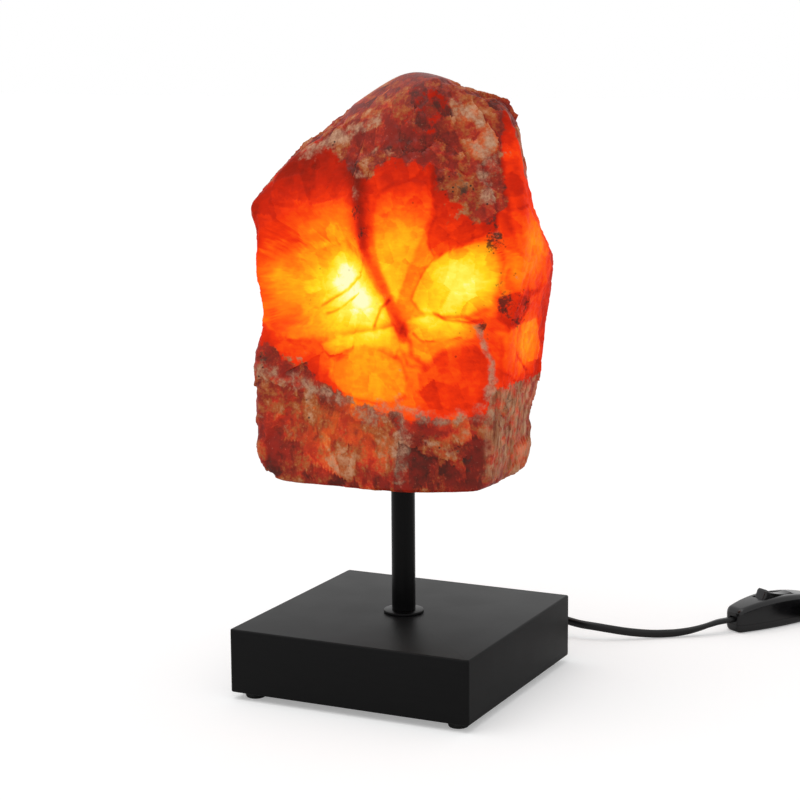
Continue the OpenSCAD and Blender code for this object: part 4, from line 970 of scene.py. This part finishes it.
class LAMP_OT_stage(Maker, bpy.types.Operator):
    """Sets the camera, the lights, the white background and the table"""
    bl_idname = "lamp.stage"
    bl_label = "Stage"

    def make(self, context):
        props = context.scene.lamp_stage
        scene = context.scene
        scene.view_settings.view_transform = "Standard"
        a, e, roll = (math.radians(v) for v in (props.turn, props.tilt, props.roll))
        back = Vector((math.sin(a) * math.cos(e), -math.cos(a) * math.cos(e), math.sin(e)))
        right = Vector((math.cos(a), math.sin(a), 0))
        up = back.cross(right)
        right, up = (right * math.cos(roll) + up * math.sin(roll),
                     up * math.cos(roll) - right * math.sin(roll))
        data = bpy.data.cameras.new("photo_camera")
        data.lens, data.sensor_width, data.clip_start, data.clip_end = props.lens, 36, 0.01, 100
        camera = bpy.data.objects.new("photo_camera", data)
        facing = Matrix((right, up, back)).transposed().to_4x4()
        camera.matrix_world = Matrix.Translation(props.place) @ facing
        scene.collection.objects.link(camera)
        scene.camera = camera
        self.light(scene, props)
        self.table(props)

    def light(self, scene, props):
        """An even light from all round that is seen as white, and one soft lamp."""
        scene.world = bpy.data.worlds.new("studio")
        look = Look("studio", scene.world)
        look.tree.nodes.clear()
        camera, glossy, through = (look.node("ShaderNodeLightPath", out=f"Is {kind} Ray")
                                   for kind in ("Camera", "Glossy", "Transmission"))
        even, white = (look.node("ShaderNodeBackground", None, {"Color": WHITE, "Strength": strength})
                       for strength in (props.daylight, 1.0))
        shown = look.node("ShaderNodeMixShader", None, (camera.most(glossy).most(through), even, white))
        look.node("ShaderNodeOutputWorld", None, (shown,))
        lamp = bpy.data.lights.new("key", "SUN")
        lamp.energy, lamp.angle = props.key, KEY_ANGLE
        key = bpy.data.objects.new("key", lamp)
        key.rotation_euler = KEY_WAY.to_track_quat("Z", "Y").to_euler()
        scene.collection.objects.link(key)

    def table(self, props):
        """A pale table under the lamp's shadow, a little lighter where the camera sees it."""
        look = Look("table")
        look.set(Base_Color=props.floor, Roughness=0.9, Specular_IOR_Level=0.1, Emission_Strength=1.0)
        seen = look.node("ShaderNodeLightPath", out="Is Camera Ray")
        look.set(Emission_Color=look.mix(seen, (0, 0, 0), TABLE_LIFT))
        verts, faces = box((-TABLE_HALF, -TABLE_HALF, -20), (TABLE_HALF, TABLE_HALF, 0))
        piece("table", verts, faces, None, None, material=look.material)


class LAMP_OT_leads(Maker, bpy.types.Operator):
    """Lays the flat cord from the base to the switch, and on through its coil to the plug"""
    bl_idname = "lamp.leads"
    bl_label = "Leads"

    def make(self, context):
        for name, points, finer, nodes, far, lay, carried in (
                ("lead_to_switch", lamp_points(), 4, ("cord_lamp_side",), "fitting", "loose",
                 ("switch_upper_shell",)),
                ("lead_to_plug", plug_lead_points(), 2,
                 ("cord_switch_side", "cord_coil", "cord_plug_side"), "plug", "coiled",
                 ("plug_body", "plug_relief", "plug_sleeves", "plug_pins", "cord_tie"))):
            made = piece(name, *flat_cord(points, finer), "root", "cord_black", *nodes, smooth=60)
            metres(points)


class LAMP_OT_stone(Maker, bpy.types.Operator):
    """Breaks the block of aragonite into shape, drills its lamp chamber and gives it its glow"""
    bl_idname = "lamp.stone"
    bl_label = "Stone"

    def make(self, context):
        props = context.scene.lamp_stone
        n, rows = ((props.turns, props.rows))
        points, marks = self.broken(n, rows, props.sharp)
        turns = np.radians(np.arange(n) * 360 / n)
        circle = np.stack([np.sin(turns), -np.cos(turns)], 1)
        rings = [points[1 + j * n:1 + (j + 1) * n] for j in range(rows - 1)]
        rings[-1][:, :2], rings[-1][:, 2] = circle * BORE_R, STONE_LOW
        rings += [np.column_stack([circle * r, np.full(n, z)]) for r, z in self.bore()]
        verts = np.vstack([points[:1]] + rings + [[(0, 0, CHAMBER_TOP)]])
        k = np.arange(n)
        after = (k + 1) % n
        faces = [(0, 1 + a, 1 + b) for a, b in zip(k, after)]
        for j in range(len(rings) - 1):
            a, b = 1 + j * n, 1 + (j + 1) * n
            faces += list(zip(a + k, b + k, b + after, a + after))
        last = 1 + (len(rings) - 1) * n
        faces += [(last + a, len(verts) - 1, last + b) for a, b in zip(k, after)]
        made = piece("aragonite_block", verts, faces, "stone", "aragonite", "stone", smooth=50)
        for key, value in marks.items():
            whole = np.full(len(verts), CHAMBER_GLOW if key == "glow" else 0.0, np.float32)
            whole[:len(value)] = value
            made.data.attributes.new(key, "FLOAT", "POINT").data.foreach_set("value", whole)

    def broken(self, n, rows, sharp):
        """The outer points, from the top down in rings of n, and the marks on them."""
        low_tilt = -math.degrees(math.atan2(STONE_MIDDLE[2] - STONE_LOW, BORE_R))
        tilts, turns = np.linspace(90, low_tilt, rows), np.arange(n) * 360 / n
        ways = np.vstack([heading(0.0, 90.0), heading(turns[None, :], tilts[1:, None]).reshape(-1, 3)])
        points = STONE_MIDDLE + ways * stone_reach(ways, sharp)[:, None]
        push = ragged(points)
        plates = [plate_mask(points + push * STONE_NAP[0], plate[0]) for plate in STONE_PLATES]
        marks = stone_marks(points, push, plates)
        lift = stone_relief(points, marks, push, plates) - STONE_EASE
        off_axis = np.hypot(points[:, 0], points[:, 1])
        z = points[:, 2]
        # the relief fades out towards the underside and the edge of the bore in it
        ease = np.clip((z - STONE_LOW) / 3, 0, 1) * np.clip((off_axis - BORE_R) / 4 + (z > 150), 0, 1)
        points = points + ways * (lift * ease)[:, None]
        return np.clip(points, *(np.array(corner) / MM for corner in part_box("stone"))), marks

    def bore(self):
        """Radius and height of the drillings' rings, from the underside up to the chamber's roof."""
        yield from ((BORE_R, z) for z in np.linspace(STONE_LOW, SEAT_Z, 6)[1:])
        yield from ((r, SEAT_Z) for r in np.linspace(BORE_R, CHAMBER_R, 5)[1:])
        yield from ((CHAMBER_R, z) for z in np.linspace(SEAT_Z, CHAMBER_TOP, 30)[1:])
        yield from ((r, CHAMBER_TOP) for r in np.linspace(CHAMBER_R, 2, 6)[1:])


FOOT_H, BLOCK_TOP, ROD_BORE = 4, 39, 5.2      # the feet's height, the base's top, the bore for the rod


class LAMP_OT_base(Maker, bpy.types.Operator):
    """Makes the lacquered base block with its pocket and cable bore, and its rubber feet"""
    bl_idname = "lamp.base"
    bl_label = "Base"

    def make(self, context):
        props = context.scene.lamp_base
        half, low, top = props.side / MM / 2, FOOT_H, BLOCK_TOP
        corners = [(-half, -half, 1.5), (half, -half, 1.5), (half, half, 1.5), (-half, half, 1.5)]
        cover, pocket, screw, foot_off = 50.3, 42, 46, 60
        cutters = [box((-cover, -cover, 0), (cover, cover, 6)),
                   box((-pocket, -pocket, 0), (pocket, pocket, 24)),
                   rod(ROD_BORE, 20, 45), moved(rod(4.6, 0, 40), lying(0, 35, EXIT_Z))]
        cutters += [moved(rod(1.85, 0, 19), at) for at in self.four(screw)]
        block = plate(rounded(corners, 5), low, top, props.bevel / MM, 4)
        dressed("base_body", cut("base_body", block, cutters), "root", "black_lacquer", ("base_block",))
        foot = turned_solid([(0.6, 0), (4.6, 0), (5.1, 0.25), (5.4, 0.8), (5.65, 2.2), (6.0, low),
                             (0.6, low)], 40)
        piece("rubber_feet", *join(*[moved(foot, at) for at in self.four(foot_off)]),
              "root", "foot_rubber", "feet")

    def four(self, off):
        """The four places at the block's corners, as far off its middle lines as said."""
        return [Matrix.Translation((x, y, 0)) for x in (-off, off) for y in (-off, off)]


class LAMP_OT_stem(Maker, bpy.types.Operator):
    """Makes the sleeve tube and the washer at its foot"""
    bl_idname = "lamp.stem"
    bl_label = "Stem"

    def make(self, context):
        low, top, r, edge = 40.6, 122.0, 6.5, 0.2
        tube = [(ROD_BORE, low), (r - edge, low), (r, low + edge), (r, top - edge), (r - edge, top),
                (ROD_BORE, top)]
        piece("sleeve_tube", *turned(tube, 96), "root", "black_metal", "stem_tube")
        washer = [(ROD_BORE, BLOCK_TOP), (10.8, BLOCK_TOP), (11.0, 39.25), (11.0, 40.1), (10.85, 40.45),
                  (10.5, low), (ROD_BORE, low)]
        piece("foot_washer", *turned(washer, 96), "root", "black_metal", "stem_washer")


def switch_loft(inset, along=72, corner=8):
    """The switch body's form, as in the part's source, with finer rings."""
    def bow(x, l, end, mid):
        """A size that swells along the length from end to mid and back, as an arc."""
        s = mid - end
        r, d = (l * l / 4 + s * s) / (2 * s), x - l / 2
        return mid - r + math.sqrt(r * r - d * d)
    l, r = SWITCH_L - 2 * inset, 3.0 - inset
    rings = []
    for i in range(along + 1):
        x = l / 2 * (1 - math.cos(math.pi * i / along))
        e = min(x, l - x)
        drawn = r - math.sqrt(max(0, e * (2 * r - e))) if e < r else 0
        w, top = bow(x, l, 13, 19) / 2 - inset - drawn, bow(x, l, 14, 18.5) - inset - drawn
        low = inset + 0.75 * drawn
        up, down = min(r, 0.9 * w, 0.58 * (top - low)), min(r, 0.6 * w, 0.4 * (top - low))
        ring = []
        for q in range(4):
            c, y, z = (up if q < 2 else down), (1 if q in (0, 3) else -1), (top if q < 2 else low)
            for k in range(corner + 1):
                a = math.pi / 2 * (q + k / corner)
                ring.append(Vector((x + inset, y * (w - c) + c * math.cos(a),
                                    (z - c if q < 2 else z + c) + c * math.sin(a))))
        rings.append(ring)
    return skin(rings)


class LAMP_OT_switch(Maker, bpy.types.Operator):
    """Makes the two shells of the cord switch, their screws' recesses and the rocker"""
    bl_idname = "lamp.switch"
    bl_label = "Switch"

    def make(self, context):
        place = Matrix.Translation(SWITCH_AT) @ Matrix.Rotation(SWITCH_TURN, 4, "Z")
        mid, split, lap, beyond, wall = SWITCH_L / 2, 5.0, 0.06, 90, 1.6
        slot_x, slot_y, screw_x, screw_y = 12.7, 4.8, 14.8, 3.9
        w, h, r = 1.8, 2.6, 1.7
        slit = plate(rounded([(-w, -h, r), (w, -h, r), (w, h, r), (-w, h, r)], 6), 0, 12)
        aside = Matrix.Rotation(math.pi / 2, 4, "Y")
        hollow = [switch_loft(wall, 48, 5)]
        hollow += [moved(slit, Matrix.Translation((x, 0, SWITCH_CORD_Z)) @ aside)
                   for x in (-5, SWITCH_L - SWITCH_GRIP)]
        above = [box((mid - slot_x, -slot_y, 13), (mid + slot_x, slot_y, 30)),
                 box((-9, -30, -9), (beyond, 30, split + lap))]
        below = [box((-9, -30, split - lap), (beyond, 30, 40))]
        below += [moved(rod(1.8, -1, 1.5), Matrix.Translation((mid + s * screw_x, -s * screw_y, 0)))
                  for s in (-1, 1)]
        for name, node, extra in (("switch_top", "switch_upper_shell", above),
                                  ("switch_bottom", "switch_lower_shell", below)):
            mesh = cut(name, switch_loft(0), hollow + extra, place)
            dressed(name, mesh, "root", "switch_gloss", (node,), 32)
        self.rocker(place)

    def rocker(self, place):
        """The cap with its finger hollow, tilted to its off side."""
        left = [(-11.92, -3.4), (-12.3, -1.6), (-12.4, 0), (-12.28, 1.7), (-11.9, 3.4), (-11.42, 4.9)]
        left += [(-9.1 + 2.2 * math.cos(a), 5.8 + 2.2 * math.sin(a))
                 for a in [math.pi * (1 - k / 14) for k in range(6)]]
        valley = [(x, 33 - math.sqrt(27 ** 2 - x * x)) for x in np.linspace(-9.85, 9.85, 25)]
        outline = left + valley + [(-x, z) for x, z in reversed(left)]
        verts, faces = plate([Vector(p) for p in outline][::-1], -4.5, 4.5, 1.7, 6)
        stand = Matrix.Translation((SWITCH_L / 2, 0, 13)) @ Matrix.Rotation(math.radians(12), 4, "Y")
        stand = place @ (stand @ Matrix.Rotation(math.pi / 2, 4, "X"))
        piece("rocker_cap", *moved((verts, [f[::-1] for f in faces]), stand),
              "rocker", "switch_gloss", "rocker")


def grooves(start, pitch, thick, taper, ground, wide, near_edge, far_edge, rim):
    """Four grooves round a tapered strain relief, as points of (radius, height)."""
    out = []
    for i in range(1, 5):
        at = start + pitch * i
        outer = thick - (at - start) / 20 * taper
        out += [(outer + 0.02, at - 0.15), (outer - near_edge, at), (ground, at), (ground, at + wide),
                (outer - far_edge, at + wide), (outer - rim, at + wide + 0.15)]
    return out


PIN_OFF, PIN_R = 9.2, 2.0                     # the pins' distance from the plug's middle, and radius


class LAMP_OT_plug(Maker, bpy.types.Operator):
    """Makes the strain relief at the base, the plug with its pins, and the tie on the coil"""
    bl_idname = "lamp.plug"
    bl_label = "Plug and fittings"

    def make(self, context):
        relief = [(2.5, -14), (4.5, -14), (4.5, 0), (6.2, 0), (6.5, 0.3), (6.5, 1.2), (6.2, 1.5),
                  (5.0, 1.5)]
        relief += grooves(1.5, 3.2, 5, 1.5, 3.45, 1, 0.2, 0.27, 0.07)
        relief += [(3.52, 21.1), (3.3, 21.5), (2.5, 21.5)]
        piece("cord_relief", *moved(turned(relief, 48), lying(0, WALL_Y, EXIT_Z)),
              "root", "cord_black", "cord_gland")
        x, back, front, half, thick = plug_x(), PLUG_RELIEF_Y - 20, PLUG_RELIEF_Y - 54, 17.5, 13.7
        outline = rounded([(-half, -34, 3.4), (half, -34, 3.4), (half, -20, 3), (8.5, 0, 2.5),
                           (-8.5, 0, 2.5), (-half, -20, 3)], 6)
        body = moved(plate(outline, 0, thick, 3.0, 6), Matrix.Translation((x, back, 0)))
        tail = [(0.05, -0.5), (6.05, -0.5), (6.05, 0)]
        tail += grooves(0, 3.4, 6.05, 2.55, 3.7, 1.2, 0.15, 0.3, 0.12)
        tail += [(3.5, 19.6), (3.2, 20.0), (0.05, 20.0)]
        tail = moved(turned_solid(tail, 48), lying(x, back, PLUG_Z))
        sides = [lying(x + s * PIN_OFF, front, PLUG_Z) for s in (-1, 1)]
        collar = turned([(1.4, -10), (1.85, -10), (PIN_R, -9.8), (PIN_R, 8), (1.4, 8)], 32)
        pin = [(1.35, 8), (1.35, -10), (1.9, -10), (PIN_R, -10.1), (PIN_R, -17)]
        pin += [(PIN_R * math.cos(a), -17 - PIN_R * math.sin(a))
                for a in [math.pi / 2 * k / 8 for k in range(1, 8)]]
        pin = turned_solid(pin[::-1], 32)
        for name, shape, slot, node in (
                ("plug_shell", body, "plug_black", "plug_body"),
                ("plug_tail", tail, "plug_black", "plug_relief"),
                ("pin_collars", join(*[moved(collar, m) for m in sides]), "plug_black", "plug_sleeves"),
                ("pins", join(*[moved(pin, m) for m in sides]), "nickel", "plug_pins"),
                ("coil_tie", self.tie(), "tie_black", "cord_tie")):
            piece(name, *shape, "root", slot, node)

    def tie(self):
        """A strap round the coil's turns, rounded at its corners."""
        room, thick, high_z, half = 2.725, 0.6, 12.25, 3.5
        low, high = COIL_R - COIL_PITCH * COIL_LOOPS / 2 - room, COIL_R + room - thick
        loops = []
        for out, r in ((0.0, 1.2), (thick, 0.6)):
            x0, x1, z0, z1 = low + out, high + thick - out, out, high_z - out
            loops.append(rounded([(x0, z0, r), (x1, z0, r), (x1, z1, r), (x0, z1, r)], 4))
        outer, inner = loops
        n = len(outer)
        verts = [Vector((p.x, y, p.y)) for y in (-half, half) for p in outer + inner]
        faces = []
        for k in range(n):
            a, b = k, (k + 1) % n
            faces += [(a, b, b + 2 * n, a + 2 * n), (b + n, a + n, a + 3 * n, b + 3 * n),
                      (b, a, a + n, b + n), (a + 2 * n, b + 2 * n, b + 3 * n, a + 3 * n)]
        place = Matrix.Translation(COIL_AT) @ Matrix.Rotation(math.radians(35), 4, "Z")
        return moved((verts, faces), place)


class LAMP_OT_bulb(Maker, bpy.types.Operator):
    """Blows the bulb's glass and gives every carried-over inner part its finish"""
    bl_idname = "lamp.bulb"
    bl_label = "Bulb and inner parts"

    def make(self, context):
        shape = turned(self.glass(0.0) + self.glass(0.8)[::-1], 64)
        piece("bulb_envelope", *shape, "bulb", "bulb_glass", "bulb_glass", smooth=50)
        slots = {part["node"]: part["material_slot"] for part in frame["record"]["subparts"]}
        made = {}
        for name, node in frame["nodes"].items():
            if name in REPLACED:
                continue
            if slots[name] not in made:
                made[slots[name]] = finish(slots[name])
            places = node.data.materials
            for place in range(len(places)):
                places[place] = made[slots[name]]
            if not places:
                places.append(made[slots[name]])

    def glass(self, inset):
        """The glass's outline from its neck in the cap up to its round tip."""
        cap_z, cap_h, tip, neck, r = 156.1, 20, 236.6 - inset, 6.3 - inset, 12.5 - inset
        line = [(neck, cap_z + 2), (neck, cap_z + cap_h - 1)]
        line += [(neck + (r - neck) * (1 - math.cos(math.pi * k / 12)) / 2, cap_z + cap_h + 10 * k / 12)
                 for k in range(13)]
        return line + [(max(0.05, r * math.cos(a)), tip - r + r * math.sin(a))
                       for a in [math.pi / 2 * k / 14 for k in range(15)]]


class LAMP_PT_panel(bpy.types.Panel):
    """Lists the lamp's pieces and their settings"""
    bl_idname = "LAMP_PT_panel"
    bl_label = "Aragonite lamp"
    bl_space_type = "VIEW_3D"
    bl_region_type = "UI"
    bl_category = "Lamp"

    def draw(self, context):
        for maker in MAKERS:
            self.layout.operator(maker.bl_idname)
        for group in SETTINGS:
            block = self.layout.box()
            for name in group.__annotations__:
                block.prop(getattr(context.scene, SETTINGS[group]), name)


SETTINGS = {StageSettings: "lamp_stage", StoneSettings: "lamp_stone", BaseSettings: "lamp_base",
            LeadSettings: "lamp_lead"}
# The order in which the pieces are made
MAKERS = [LAMP_OT_stage, LAMP_OT_leads, LAMP_OT_stone, LAMP_OT_base, LAMP_OT_stem, LAMP_OT_switch,
          LAMP_OT_plug, LAMP_OT_bulb]


def register():
    for group, name in SETTINGS.items():
        bpy.utils.register_class(group)
        setattr(bpy.types.Scene, name, bpy.props.PointerProperty(type=group))
    for maker in MAKERS + [LAMP_PT_panel]:
        bpy.utils.register_class(maker)


def unregister():
    for maker in [LAMP_PT_panel] + MAKERS[::-1]:
        bpy.utils.unregister_class(maker)
    for group, name in SETTINGS.items():
        delattr(bpy.types.Scene, name)
        bpy.utils.unregister_class(group)


def main():
    register()
    for maker in MAKERS:
        group, name = maker.bl_idname.split(".")
        getattr(getattr(bpy.ops, group), name)()


if __name__ == "__main__":
    main()
